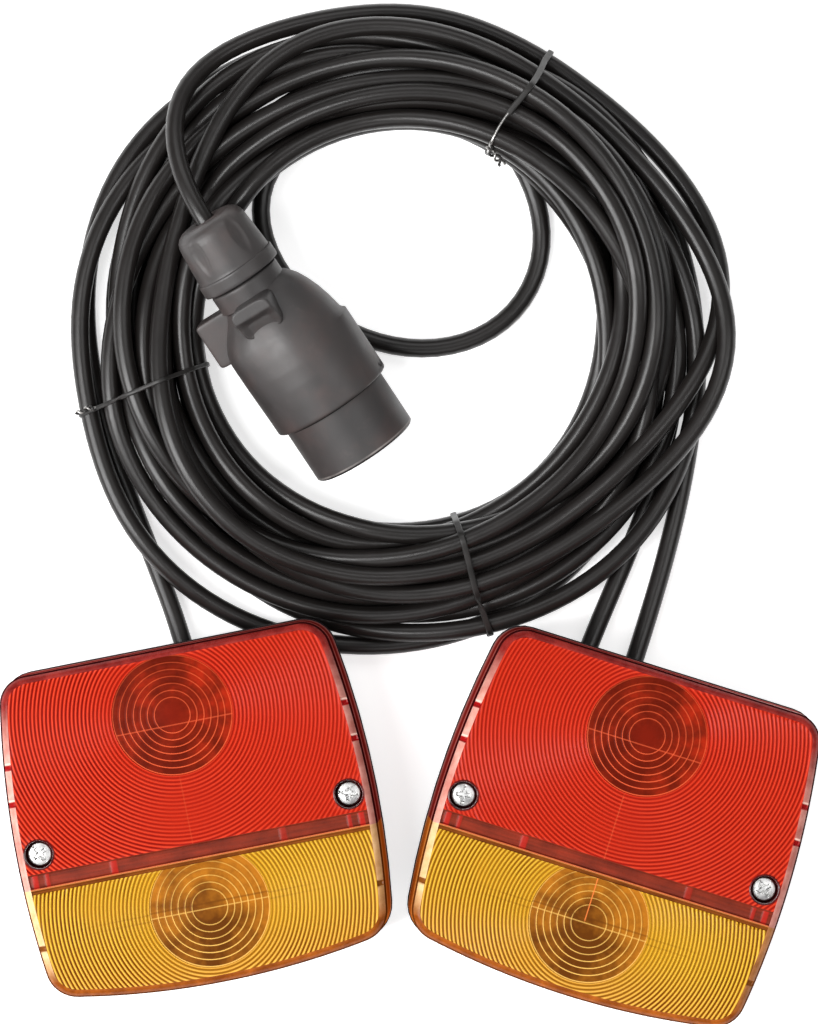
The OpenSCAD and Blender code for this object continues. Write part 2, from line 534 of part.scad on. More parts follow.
plug_pin_screws();
plug_body_screw();
plug_gland_nut();
plug_gland_bush();
plug_core_wires();
cable_coil();
cable(plug_route);  // plug_lead
cable(inner_route);  // inner_loop
cable(left_route);  // left_lamp_lead
cable(in_route);  // right_lamp_lead_in
cable(out_route);  // right_lamp_lead_out
tie(61.5);  // upper_tie
tie(193.5);  // left_tie
tie(287.5);  // lower_tie
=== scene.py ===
import bpy, bmesh, json, math
import numpy as np
from mathutils import Vector, Matrix

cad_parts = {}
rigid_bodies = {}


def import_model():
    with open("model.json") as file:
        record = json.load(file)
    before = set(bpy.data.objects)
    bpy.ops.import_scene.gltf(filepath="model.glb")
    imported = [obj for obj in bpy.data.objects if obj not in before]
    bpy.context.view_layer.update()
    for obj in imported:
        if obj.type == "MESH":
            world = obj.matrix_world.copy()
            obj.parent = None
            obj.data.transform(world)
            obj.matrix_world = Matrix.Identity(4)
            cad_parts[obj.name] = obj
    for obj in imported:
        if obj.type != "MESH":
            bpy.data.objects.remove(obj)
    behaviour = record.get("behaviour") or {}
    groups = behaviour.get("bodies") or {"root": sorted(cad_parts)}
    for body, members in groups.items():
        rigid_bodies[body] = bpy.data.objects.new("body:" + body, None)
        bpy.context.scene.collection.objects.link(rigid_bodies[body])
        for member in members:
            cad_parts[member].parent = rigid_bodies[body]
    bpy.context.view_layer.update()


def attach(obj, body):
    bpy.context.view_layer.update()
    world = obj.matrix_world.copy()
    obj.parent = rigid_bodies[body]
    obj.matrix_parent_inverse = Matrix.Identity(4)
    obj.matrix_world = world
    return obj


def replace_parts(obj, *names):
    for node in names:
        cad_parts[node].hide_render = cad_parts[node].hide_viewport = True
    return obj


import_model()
MM = 0.001
SCENE = bpy.context.scene

# ---------------------------------------------------------------- camera
cam_data = bpy.data.cameras.new("camera")
cam = bpy.data.objects.new("camera", cam_data)
SCENE.collection.objects.link(cam)
cam_data.sensor_width = 36.0
cam_data.lens = 189.6
cam_data.clip_start, cam_data.clip_end = 0.1, 20.0
cam.location = (0.0, 0.102, 1.8)
cam.rotation_euler = (0.0, 0.0, 0.0)
SCENE.camera = cam

# ---------------------------------------------------------------- helpers
def link(o, body="root"):
    SCENE.collection.objects.link(o)
    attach(o, body)
    return o

def mesh_object(name, verts, faces, mats=(), smooth=True, indices=None):
    """verts in mm"""
    me = bpy.data.meshes.new(name)
    me.from_pydata([tuple(float(c) * MM for c in v) for v in verts], [], [tuple(int(i) for i in f) for f in faces])
    me.validate()
    for m in mats:
        me.materials.append(m)
    if indices is not None and len(indices) == len(me.polygons):
        me.polygons.foreach_set("material_index", [int(i) for i in indices])
    if smooth:
        me.polygons.foreach_set("use_smooth", [True] * len(me.polygons))
    me.update()
    o = bpy.data.objects.new(name, me)
    return link(o)

def sharpen(o, angle):
    """smooth shading, with an edge where faces meet at more than the angle in degrees"""
    bm = bmesh.new(); bm.from_mesh(o.data)
    lim = math.radians(angle)
    for e in bm.edges:
        if len(e.link_faces) == 2:
            e.smooth = e.calc_face_angle(0.0) < lim
    for f in bm.faces:
        f.smooth = True
    bm.to_mesh(o.data); bm.free()

class Tree:
    """short names for shader nodes"""
    def __init__(self, name):
        self.m = bpy.data.materials.new(name)
        self.m.use_nodes = True
        self.t = self.m.node_tree
        self.t.nodes.clear()
        self.out = self.t.nodes.new("ShaderNodeOutputMaterial")
        self.bsdf = self.t.nodes.new("ShaderNodeBsdfPrincipled")
        self.t.links.new(self.bsdf.outputs[0], self.out.inputs[0])
    def node(self, kind, **inputs):
        n = self.t.nodes.new("ShaderNode" + kind)
        for k, v in inputs.items():
            if k.startswith("p_"):
                setattr(n, k[2:], v)
        for k, v in inputs.items():
            if k.startswith("p_"):
                continue
            key = int(k[1:]) if k[0] == "i" and k[1:].isdigit() else k.replace("_", " ")
            sock = n.inputs[key]
            if isinstance(v, bpy.types.NodeSocket):
                self.t.links.new(v, sock)
            else:
                sock.default_value = v
        return n
    def link(self, a, b):
        self.t.links.new(a, b)
    def coords(self):
        return self.node("TexCoord").outputs["Object"]
    def math(self, op, a, b=0.0, c=0.0, clamp=False):
        n = self.t.nodes.new("ShaderNodeMath"); n.operation = op; n.use_clamp = clamp
        for k, v in enumerate((a, b, c)):
            if isinstance(v, bpy.types.NodeSocket):
                self.t.links.new(v, n.inputs[k])
            else:
                n.inputs[k].default_value = v
        return n.outputs[0]
    def noise(self, scale, detail=3.0, rough=0.55, vec=None, out="Fac"):
        n = self.t.nodes.new("ShaderNodeTexNoise")
        n.inputs["Scale"].default_value = scale
        n.inputs["Detail"].default_value = detail
        n.inputs["Roughness"].default_value = rough
        self.t.links.new(vec or self.coords(), n.inputs["Vector"])
        return n.outputs[0 if out == "Fac" else 1]
    def ramp(self, fac, stops, interp="LINEAR"):
        n = self.t.nodes.new("ShaderNodeValToRGB")
        n.color_ramp.interpolation = interp
        e = n.color_ramp.elements
        while len(e) < len(stops):
            e.new(0.5)
        for k, (p, c) in enumerate(stops):
            e[k].position = p
            e[k].color = (*c, 1.0) if len(c) == 3 else c
        self.t.links.new(fac, n.inputs[0])
        return n.outputs[0]
    def remap(self, fac, a, b, c, d):
        n = self.t.nodes.new("ShaderNodeMapRange")
        for k, v in zip((1, 2, 3, 4), (a, b, c, d)):
            if isinstance(v, bpy.types.NodeSocket):
                self.t.links.new(v, n.inputs[k])
            else:
                n.inputs[k].default_value = v
        self.t.links.new(fac, n.inputs[0])
        return n.outputs[0]
    def mix(self, fac, a, b, blend="MIX"):
        n = self.t.nodes.new("ShaderNodeMix"); n.data_type = "RGBA"; n.blend_type = blend
        for s, v in ((n.inputs[0], fac), (n.inputs[6], a), (n.inputs[7], b)):
            if isinstance(v, bpy.types.NodeSocket):
                self.t.links.new(v, s)
            elif isinstance(v, (int, float)):
                s.default_value = v
            else:
                s.default_value = (*v, 1.0) if len(v) == 3 else v
        return n.outputs[2]
    def bump(self, height, distance, strength=1.0, normal=None):
        n = self.t.nodes.new("ShaderNodeBump")
        n.inputs["Distance"].default_value = distance
        n.inputs["Strength"].default_value = strength
        self.t.links.new(height, n.inputs["Height"])
        if normal is not None:
            self.t.links.new(normal, n.inputs["Normal"])
        return n.outputs[0]
    def put(self, **kw):
        for k, v in kw.items():
            s = self.bsdf.inputs[k.replace("_", " ")]
            if isinstance(v, bpy.types.NodeSocket):
                self.t.links.new(v, s)
            elif isinstance(v, (tuple, list)) and len(v) == 3 and s.type == "RGBA":
                s.default_value = (*v, 1.0)
            else:
                s.default_value = v
        return self

def srgb(r, g, b):
    f = lambda c: (c / 255.0 / 12.92) if c / 255.0 <= 0.04045 else ((c / 255.0 + 0.055) / 1.055) ** 2.4
    return (f(r), f(g), f(b))
# ---------------------------------------------------------------- the two cables
import math
import numpy as np

# Millimetres here. Each cable is a chain of points along a route that is laid out as listed points and as turns, as (x,
# y, order);
# order says which turn lies on which. The chain is then let down on the floor, with its length kept, its bends evened
# out, and no two stretches nearer than a diameter.
D = 6.2
R = D / 2
STEP = 5.0
CENTRE = np.array([-3.0, 163.2])
TIES = (61.5, 193.5, 287.5)
LEFT, RIGHT = ((-67.8, -10.4), 11.1), ((63.3, -16.0), -17.4)
TILT, TURN = math.radians(11), math.radians(-56.4)
PLUG_DIR = np.array([math.cos(TILT) * math.cos(TURN), math.cos(TILT) * math.sin(TURN), -math.sin(TILT)])
PLUG_O = np.array([-14.5, 122.5, 18.4 * math.cos(TILT)]) - 93 * PLUG_DIR
NECK = 2.1 * np.array([math.sin(TURN), -math.cos(TURN), 0.0])

def on_lamp(x, y, lamp):
    (ox, oy), a = lamp
    c, s = math.cos(math.radians(a)), math.sin(math.radians(a))
    return ox + x * c - y * s, oy + x * s + y * c

def lamp_outline(inset, rt, rb, n=8):
    """the lamp's outline as in part.scad, anticlockwise from the middle of the bowed foot"""
    W, yc, RS, T, B, RB = 60.4, 10.0, 300.0, 69.6, 42.7, 270.0
    sc, fc = (W - RS, yc), (0.0, RB - B)
    ty = T - inset - rt
    d = RS - inset - rt
    tc = (sc[0] + math.sqrt(d * d - (ty - yc) ** 2), ty)
    r0, r1 = RS - inset - rb, RB - inset - rb
    vx, vy = fc[0] - sc[0], fc[1] - sc[1]
    dd = math.hypot(vx, vy)
    a = (r0 * r0 - r1 * r1 + dd * dd) / (2 * dd)
    h = math.sqrt(r0 * r0 - a * a)
    bc = (sc[0] + vx * a / dd + h * vy / dd, sc[1] + vy * a / dd - h * vx / dd)
    ang = lambda p, q: math.atan2(q[1] - p[1], q[0] - p[0])
    def arc(c, r, a0, a1, m):
        return [(c[0] + r * math.cos(a0 + (a1 - a0) * k / m), c[1] + r * math.sin(a0 + (a1 - a0) * k / m)) for k in range(m + 1)]
    af, al, at = ang(fc, bc), ang(sc, bc), ang(sc, tc)
    p = arc(fc, RB - inset, -math.pi / 2, af, n) + arc(bc, rb, af, al, n)[1:] + arc(sc, RS - inset, al, at, n * 2)[1:] + arc(tc, rt, at, math.pi / 2, n)[1:]
    return p + [(-x, y) for x, y in reversed(p[1:])]

def polar(th, r):
    a = math.radians(th)
    return CENTRE[0] + r * math.cos(a), CENTRE[1] + r * math.sin(a)

def squeeze(th):
    s = 1.0
    for t in TIES:
        d = (th - t + 180) % 360 - 180
        s -= 0.15 * math.exp(-(d / 15.0) ** 2)
    return s

def ring(th, radius, off, heading):
    r = radius + off * math.cos(math.radians(th - heading))
    return 88.0 + (r - 88.0) * squeeze(th)

def turns(th0, th1, rows, step=12.0):
    """points along turns from th0 to th1; a row is the radius, offset, its heading and the order of one turn"""
    n = int(abs(th1 - th0) / step)
    out = []
    for k in range(n + 1):
        th = th0 + (th1 - th0) * k / n
        f = abs(th - th0) / 360.0
        i = min(int(f), len(rows) - 1)
        a, b = rows[i], rows[min(i + 1, len(rows) - 1)]
        w = min(1.0, max(0.0, (f - i - 0.45) / 0.55))
        w = w * w * (3 - 2 * w)
        r = ring(th, *a[:3]) * (1 - w) + ring(th, *b[:3]) * w
        out.append(polar(th, r) + (a[3] + (b[3] - a[3]) * w,))
    return out

MAIN_ROWS = [
    (83, 8, -60, 15), (86, 11, 150, 14.1), (79, 7, 20, 13.2), (88, 10, -110, 12.3), (94, 6, 95, 11.4), (76, 3, 200, 10.5), (91, 8, 320, 9.6),
    (83, 5, 185, 8.7), (97, 11, -32, 7.8), (76, 3, 250, 6.9), (88, 6, 130, 6), (84, 6, -60, 5.2), (94, 3, -20, 5)]
LINK_ROWS = [(92, 4, 0, 4), (77, 4, 110, 3), (85, 6, 215, 2), (75, 4, 40, 2)]
LINK_LAST = [(97, 16, 216, 0.6), (94, 8, 150, 0)]

def main_route():
    P = [tuple((PLUG_O + t * PLUG_DIR + NECK)[:2]) + (18,) for t in (26, 12, -1)]
    # out of the gland nut, up over the coil's back and round its outside to the right
    P += [(-70.5, 203, 18), (-74.5, 211, 18), (-78.5, 220.5, 17.5), (-80.5, 230.5, 17), (-79, 240, 16.6), (-73.5, 248, 16.3), (-65.5, 253.5, 16),
          (-55.5, 257.8, 16), (-43.5, 262.2, 16), (-28, 266.3, 16), (-12, 268.8, 16), (4, 269.2, 16), (20, 265.6, 16), (33, 259, 16), (45, 250.6, 16),
          (56.5, 243.8, 16), (67.5, 236, 16), (85.3, 219, 16), (96.5, 204.5, 16), (103, 191.5, 16), (106, 177.5, 16), (105, 165, 16), (101, 155, 16),
          (94.2, 146.3, 16), (84.8, 136.5, 16), (74.5, 125.3, 16), (64.5, 113, 16), (54, 101.5, 16), (42, 92.5, 16), (28, 86, 16)]
    # along the foot and up the left side, then out again across the upper left
    P += [polar(th, r) + (16.5,) for th, r in ((-92, 81), (-106, 84), (-120, 87), (-135, 88), (-150, 86), (-165, 82.5), (-180, 79), (-195, 77.5), (-206, 78))]
    P += [(-68.8, 208, 17), (-65.2, 221, 17), (-61.6, 233.5, 17), (-56.5, 243.5, 17), (-49, 251.8, 17), (-39, 258, 17), (-28, 261.6, 17), (-14, 263, 17),
          (0, 262.6, 17), (14, 259.6, 17), (28, 253.6, 17), (41.5, 245.2, 17), (56, 235.3, 17), (71.4, 221.5, 17), (88.5, 199.8, 17), (101.5, 180.5, 17),
          (107, 166.5, 17), (107.3, 155, 17), (104, 143, 17), (97.5, 132, 17), (88.1, 122.5, 17), (75.9, 112.8, 17), (63.7, 103.2, 17), (53, 94, 17), (42, 84.5, 17)]
    P += turns(-427.0, -4694.7, MAIN_ROWS)
    # down to the right lamp
    P += [(86.4, 126, 5), (85.2, 117, 5), (83.5, 105, 5), (80.5, 94, 5), (76, 82, 5), (68.5, 70, 5), (62, 61, 5)]
    P += [on_lamp(-25.5, y, RIGHT) + (5,) for y in (66, 58, 45)]
    return np.array(P, float)

def link_route():
    P = [on_lamp(-9.5, y, RIGHT) + (4,) for y in (45, 58, 66)]
    P += [(76.6, 57, 4), (80.5, 66, 4), (85, 77, 4), (88.5, 89, 4), (91, 102, 4), (92.2, 114, 4), (92.6, 126, 4)]
    P += turns(-13, 818, LINK_ROWS)
    # one smaller turn in the coil's hole
    P += [(x, y, 1.3) for x, y in ((-34, 229.5), (-41, 224.5), (-46.5, 218), (-50.5, 210), (-51.5, 201), (-49, 191), (-42.5, 180), (-29, 166.5), (-12, 158), (7, 154.5),
                                   (24, 157.5), (37, 166), (45.5, 180), (47, 194), (42, 208), (33, 219), (21, 227.5))]
    P += turns(1161, 1558, LINK_LAST)
    P += [polar(th, r) + (0,) for th, r in ((130, 102), (142, 105), (153, 108), (164, 110), (175, 110.5), (184, 108.5))]
    P += [(x, y, 0) for x, y in ((-106.5, 142), (-103.3, 131), (-99, 117), (-92.5, 100), (-86.5, 83), (-80.5, 70), (-76.4, 62))]
    P += [on_lamp(6.5, y, LEFT) + (0,) for y in (66, 58, 45)]
    return np.array(P, float)

def through(P, n=24):
    """a smooth line through the points"""
    P = np.vstack([2 * P[0] - P[1], P, 2 * P[-1] - P[-2]])
    out = []
    for i in range(1, len(P) - 2):
        p = P[i - 1:i + 3]
        t = np.concatenate([[0.0], np.cumsum([max(1e-6, np.linalg.norm(p[k + 1][:2] - p[k][:2])) ** 0.5 for k in range(3)])])
        s = np.linspace(t[1], t[2], n, endpoint=False)[:, None]
        A = [((t[k + 1] - s) * p[k] + (s - t[k]) * p[k + 1]) / (t[k + 1] - t[k]) for k in range(3)]
        B = [((t[k + 2] - s) * A[k] + (s - t[k]) * A[k + 1]) / (t[k + 2] - t[k]) for k in range(2)]
        out.append(((t[2] - s) * B[0] + (s - t[1]) * B[1]) / (t[2] - t[1]))
    out.append(P[-2][None])
    return np.vstack(out)

def spaced(P, length):
    d = np.linalg.norm(np.diff(P[:, :2], axis=0), axis=1)
    s = np.concatenate([[0], np.cumsum(d)])
    q = np.linspace(0, s[-1], int(round(length / STEP)) + 1)
    return np.column_stack([np.interp(q, s, P[:, k]) for k in range(P.shape[1])]), s[-1]

def even(A, k, s):
    """evens out the change of curvature along one cable"""
    L = A[:-2 * s] - 2 * A[s:-s] + A[2 * s:]
    A[2 * s:-2 * s] -= k * (L[:-2 * s] - 2 * L[s:-s] + L[2 * s:])

def close_pairs(X, reach, skip):
    A = X.astype(np.float32)
    n = len(A)
    q = (A * A).sum(1)
    I, J = [], []
    for a in range(0, n, 256):
        b = min(n, a + 256)
        i, j = np.nonzero(q[a:b, None] + q[None, :] - 2 * A[a:b] @ A.T < reach * reach)
        i = i + a
        k = j - i > skip
        I.append(i[k]); J.append(j[k])
    return np.concatenate(I), np.concatenate(J)

def inside_polygon(P, poly):
    x, y = P[:, 0], P[:, 1]
    hit = np.zeros(len(P), bool)
    for (x0, y0), (x1, y1) in zip(poly, poly[1:] + poly[:1]):
        if y0 == y1:
            continue
        hit ^= ((y0 > y) != (y1 > y)) & (x < (x1 - x0) * (y - y0) / (y1 - y0) + x0)
    return hit

def eased(X, ends=7):
    """the same line with even spacing and the last unevenness taken out"""
    s = np.concatenate([[0.0], np.cumsum(np.linalg.norm(np.diff(X, axis=0), axis=1))])
    q = np.linspace(0, s[-1], len(X))
    Y = np.column_stack([np.interp(q, s, X[:, k]) for k in range(3)])
    hold = np.clip((np.minimum(np.arange(len(X)), np.arange(len(X))[::-1]) - ends) / 4.0, 0, 1)[:, None]
    for _ in range(4):
        M = Y.copy()
        M[1:-1] = 0.25 * Y[:-2] + 0.5 * Y[1:-1] + 0.25 * Y[2:]
        Y += hold * (M - Y)
    return Y

def settle(iters=1000, stiff=1.3, hold=0.06, hole=0.1, keep=1.0, log=False):
    lengths = (7500.0, 2500.0)
    Q = []
    for P, L in ((main_route(), lengths[0]), (link_route(), lengths[1])):
        q, l0 = spaced(through(P), L)
        if log:
            print("route", round(l0), "of", L, "points", len(q))
        Q.append(q)
    n0 = len(Q[0])
    Q = np.vstack(Q)
    n = len(Q)
    rank = Q[:, 2].copy()
    X = np.column_stack([Q[:, 0], Q[:, 1], R + 0.1 + 7.0 * rank])
    T = X[:, :2].copy()
    h = np.where(np.arange(n) < n0, lengths[0] / (n0 - 1), lengths[1] / (n - n0 - 1))
    arcs = np.concatenate([np.cumsum(h[:n0]) - h[0], np.cumsum(h[n0:]) - h[-1]])
    # held points: in the plug's neck and where the sheaths pass the trays' walls
    held = {}
    for i in range(6):
        held[i] = PLUG_O + (26 - i * h[0]) * PLUG_DIR + NECK
    for k in range(5):
        for x, lamp, i in ((-25.5, RIGHT, n0 - 1 - k), (-9.5, RIGHT, n0 + k), (6.5, LEFT, n - 1 - k)):
            held[i] = np.array([*on_lamp(x, 45 + 5.0 * k, lamp), 6.6])
    for lo, up, z0, z1, far0, far1 in ((0, n0, 37.0, 6.6, 260.0, 130.0), (n0, n, 6.6, 6.6, 130.0, 130.0)):
        a, total = arcs[lo:up], arcs[up - 1]
        u0, u1 = np.clip(a / far0, 0, 1), np.clip((total - a) / far1, 0, 1)
        X[lo:up, 2] = z0 + (X[lo:up, 2] - z0) * u0 * u0 * (3 - 2 * u0)
        X[lo:up, 2] = z1 + (X[lo:up, 2] - z1) * u1 * u1 * (3 - 2 * u1)
    hi = np.array(sorted(held))
    hv = np.array([held[i] for i in hi])
    free = np.ones(n, bool)
    free[hi] = False
    # how firmly a point keeps to its route, seen from above
    w = np.full(n, 0.01)
    a, b = arcs[:n0], arcs[n0:]
    w[:n0][a < 1480] = 0.05
    firm = np.zeros(n)
    firm[:n0] = np.where(a < 300, 0.25, np.where(a < 1480, hold, 0.0))
    w[:n0][a > 7350] = 0.08
    w[n0:][(b < 150) | (b > 2080)] = 0.08
    in_hole = np.hypot(X[:, 0] - CENTRE[0], X[:, 1] - CENTRE[1]) < 66
    in_hole[:n0] = False
    w[in_hole] = 0.08
    firm[in_hole] = hole
    r0 = np.hypot(X[:, 0] - CENTRE[0], X[:, 1] - CENTRE[1])
    coiled = np.zeros(n, bool)
    coiled[:n0] = (a > 60) & (a < 7350)
    coiled[n0:] = (b > 150) & (b < 2150) & ~in_hole[n0:]
    low = np.where(coiled, np.minimum(r0 + 0.5, 68.5), 0.0)
    # the turns that stand out of the bundle stay out
    low = np.where(coiled & (r0 > 99.5), r0 - keep, low)
    high_r = np.where(coiled, np.maximum(r0 - 0.5, 105.0), 400.0)
    base = np.full(n, R)
    rims = [[on_lamp(x, y, lamp) for x, y in lamp_outline(-1.5, 12.5, 13.5)] for lamp in (LEFT, RIGHT)]
    spans = ((0, n0), (n0, n))
    tang = np.empty_like(X)
    gap = D + 0.05
    for it in range(iters):
        f = it / iters
        last = f > 0.86
        X[free, 2] -= 0.9 if it < 120 else 0.01 if last else max(0.06, 0.5 - 0.003 * (it - 120))
        if it > 220:
            high = free & (X[:, 2] > 17.5)
            high[:48] = False
            X[high, 2] -= 0.02 if last else 0.12
        X[:, :2] += np.maximum(firm, w * (1.0 if f < 0.3 else 0.4 if not last else 0.1))[:, None] * (T - X[:, :2])
        if it > 60:
            # the turns keep out of the hole, and the ties draw the bundle together
            rel = X[:, :2] - CENTRE
            rad = np.hypot(rel[:, 0], rel[:, 1])
            goal = np.clip(rad, low, high_r)
            X[:, :2] += (0.35 * (goal - rad) / rad)[:, None] * rel
            th = np.degrees(np.arctan2(rel[:, 1], rel[:, 0]))
            base[:] = R
            for t in TIES:
                dth = (th - t + 180) % 360 - 180
                base += np.where((rad > 62) & (rad < 112), 0.85 * np.exp(-(dth / 5) ** 2), 0)
                m = free & (np.abs(dth) < 12) & (rad > 62)
                goal = np.clip(rad[m], 69.6, 103.6)
                X[m, :2] += (0.3 * np.exp(-(dth[m] / 6) ** 2) * (goal - rad[m]) / rad[m])[:, None] * rel[m]
        for lo, up in spans:
            for s, k in ((5, 0.04), (3, 0.05), (1, 0.06)):
                even(X[lo:up, :2], k * stiff, s)
            even(X[lo:up, 2:], 0.035 * stiff, 3)
            if last:
                even(X[lo:up], 0.05, 2)
            even(X[lo:up, 2:], 0.06, 1)
        X[hi] = hv
        if it % 6 == 0:
            I, J = close_pairs(X, 10.5, 4)
            over = np.sign(rank[I] - rank[J])
        for rep in range(5 if last else 3):
            for lo, up in spans:
                t = np.gradient(X[lo:up], axis=0)
                tang[lo:up] = t / np.linalg.norm(t, axis=1)[:, None]
            d = X[I] - X[J]
            al = (d * tang[J]).sum(1)
            p = d - al[:, None] * tang[J]
            flat = np.hypot(p[:, 0], p[:, 1])
            L = np.maximum(np.linalg.norm(p, axis=1), 1e-3)
            wrong = (flat < 2.4) & (p[:, 2] * over < 0)
            m = (np.abs(al) < 3.1) & ((L < gap) | wrong)
            i, j, p, L, wr, ov = I[m], J[m], p[m], L[m], wrong[m], over[m]
            push = (0.5 * (gap - L) / L)[:, None] * p
            # a turn that is above another one stays above it
            push[wr, :2] = 0
            push[wr, 2] = 0.5 * ov[wr] * (gap + np.abs(p[wr, 2])) * 0.5
            cnt = np.bincount(i, minlength=n) + np.bincount(j, minlength=n)
            dX = np.column_stack([np.bincount(i, push[:, c], n) - np.bincount(j, push[:, c], n) for c in range(3)])
            dX = dX * (1.4 / np.maximum(1.4, cnt * 0.75))[:, None]
            X[free] += dX[free]
            if it > 210:
                # the plug lies on the coil
                v = X - PLUG_O
                t = v @ PLUG_DIR
                out = v - t[:, None] * PLUG_DIR
                rr = np.linalg.norm(out, axis=1)
                pr = np.interp(t, [-1, 3, 17, 22, 26, 30, 38, 46, 73, 93], [9.5, 12.5, 13.9, 14.1, 13.4, 15.8, 18.9, 20.9, 20.9, 18.5]) + R + 0.1
                m = free & (t > -1) & (t < 95) & (rr < pr)
                m[:12] = False
                X[m] += out[m] / rr[m][:, None] * np.minimum(1.0, pr[m] - rr[m])[:, None]
            for rim in rims:
                # under the flanges of the lamps
                m = free & inside_polygon(X, rim)
                X[m, 2] = np.minimum(X[m, 2], 9.2)
            X[:, 2] = np.maximum(X[:, 2], base)
        for rep in range(3):
            for lo, up in spans:
                for par in (0, 1):
                    a = np.arange(lo + par, up - 1, 2)
                    d = X[a + 1] - X[a]
                    L = np.linalg.norm(d, axis=1)
                    c = (0.5 * (L - h[a]) / L)[:, None] * d
                    X[a] += c
                    X[a + 1] -= c
            X[hi] = hv
        X[:, 2] = np.maximum(X[:, 2], base)
        if log and (it % 100 == 0 or it == iters - 1):
            d = X[I] - X[J]; al = (d * tang[J]).sum(1); p = d - al[:, None] * tang[J]; L = np.linalg.norm(p, axis=1); k = np.abs(al) < 3.1
            print(it, "closest %.2f" % L[k].min(), "under 5.9: %d" % (L[k] < 5.9).sum(), "wrong %d" % (k & (np.hypot(p[:, 0], p[:, 1]) < 2.4) & (p[:, 2] * over < 0)).sum(), "top %.1f" % X[60:, 2].max(), "off %.1f" % np.linalg.norm(X[:, :2] - T, axis=1).max(), flush=True)
    return eased(X[:n0]), eased(X[n0:])
# ---------------------------------------------------------------- cables, drawn
def cable_material():
    t = Tree("cable_pvc_look")
    big = t.noise(22.0, 4.0, 0.6)
    fine = t.noise(420.0, 3.0, 0.6)
    scuff = t.noise(95.0, 6.0, 0.7)
    col = t.ramp(big, [(0.3, srgb(21, 19, 18)), (0.7, srgb(30, 27, 26))])
    col = t.mix(t.remap(scuff, 0.62, 0.8, 0.0, 0.25), col, srgb(58, 52, 50))
    rough = t.remap(scuff, 0.3, 0.75, 0.28, 0.39)
    b = t.bump(big, 0.0005, 0.3, t.bump(fine, 0.00002, 0.25))
    t.put(Base_Color=col, Roughness=rough, Normal=b, IOR=1.5, Specular_IOR_Level=0.34)
    return t.m

CABLE_LOOK = cable_material()

def cable_curve(name, P):
    cu = bpy.data.curves.new(name, "CURVE")
    cu.dimensions = "3D"
    cu.bevel_depth = R * MM
    cu.bevel_resolution = 5
    cu.use_fill_caps = True
    sp = cu.splines.new("POLY")
    sp.points.add(len(P) - 1)
    sp.points.foreach_set("co", np.column_stack([P * MM, np.ones(len(P))]).ravel())
    sp.use_smooth = True
    cu.materials.append(CABLE_LOOK)
    return link(bpy.data.objects.new(name, cu))

MAIN_P, LINK_P = settle()
main_cable = cable_curve("main_cable", MAIN_P)
link_cable = cable_curve("link_cable", LINK_P)
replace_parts(main_cable, "cable_coil", "plug_lead", "inner_loop", "right_lamp_lead_in")
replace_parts(link_cable, "left_lamp_lead", "right_lamp_lead_out")

# ---------------------------------------------------------------- ties
def hull(pts):
    pts = sorted(set((round(float(x), 4), round(float(y), 4)) for x, y in pts))
    def half(seq):
        out = []
        for p in seq:
            while len(out) > 1 and (out[-1][0] - out[-2][0]) * (p[1] - out[-2][1]) - (out[-1][1] - out[-2][1]) * (p[0] - out[-2][0]) <= 0:
                out.pop()
            out.append(p)
        return out
    a, b = half(pts), half(pts[::-1])
    return a[:-1] + b[:-1]

def strands_at(th):
    """(distance from the coil's centre, height) of the strands that cross the half plane at th, inside the bundle"""
    out = []
    u = np.array([math.cos(math.radians(th)), math.sin(math.radians(th))])
    for P in (MAIN_P, LINK_P):
        q = P[:, :2] - CENTRE
        along, side = q @ u, q @ np.array([-u[1], u[0]])
        for i in np.nonzero((side[:-1] * side[1:] <= 0) & (along[:-1] > 62) & (along[:-1] < 112))[0]:
            f = side[i] / (side[i] - side[i + 1]) if side[i] != side[i + 1] else 0.0
            out.append((along[i] + f * (along[i + 1] - along[i]), P[i, 2] + f * (P[i + 1, 2] - P[i, 2])))
    return out

def tie_path(th, grow, n=150):
    """the taut line round the bundle, as points at equal steps, anticlockwise from the inner side"""
    c = []
    for r, z in strands_at(th):
        c += [(r + (R + grow) * math.cos(k * math.pi / 12), max(grow, z + (R + grow) * math.sin(k * math.pi / 12))) for k in range(24)]
    h = np.array(hull(c))
    h = np.vstack([h, h[:1]])
    d = np.concatenate([[0], np.cumsum(np.hypot(*np.diff(h, axis=0).T))])
    q = np.linspace(0, d[-1], n, endpoint=False)
    p = np.column_stack([np.interp(q, d, h[:, 0]), np.interp(q, d, h[:, 1])])
    for _ in range(2):
        p = 0.5 * p + 0.25 * np.roll(p, 1, 0) + 0.25 * np.roll(p, -1, 0)
    return p

def tie_frame(th):
    u = np.array([math.cos(math.radians(th)), math.sin(math.radians(th)), 0.0])
    return u, np.array([-u[1], u[0], 0.0])

def sweep(path, section, up, closed=True, roll=None):
    """section (side, out) carried along path; up is the fixed side direction of the section, and roll turns it about the path"""
    path = np.asarray(path, float)
    m, k = len(path), len(section)
    verts = []
    for i in range(m):
        a = path[(i + 1) % m] if closed or i < m - 1 else path[i]
        b = path[i - 1] if closed or i else path[i]
        t = (a - b) / np.linalg.norm(a - b)
        o = np.cross(t, up); o /= np.linalg.norm(o)
        side = np.cross(o, t)
        c, q = (math.cos(roll[i]), math.sin(roll[i])) if roll is not None else (1.0, 0.0)
        for s, w in section:
            verts.append(path[i] + (s * c - w * q) * side + (s * q + w * c) * o)
    faces = []
    for i in range(m if closed else m - 1):
        j = (i + 1) % m
        faces += [(i * k + c, i * k + (c + 1) % k, j * k + (c + 1) % k, j * k + c) for c in range(k)]
    if not closed:
        faces += [tuple(range(k))[::-1], tuple((m - 1) * k + c for c in range(k))]
    return verts, faces

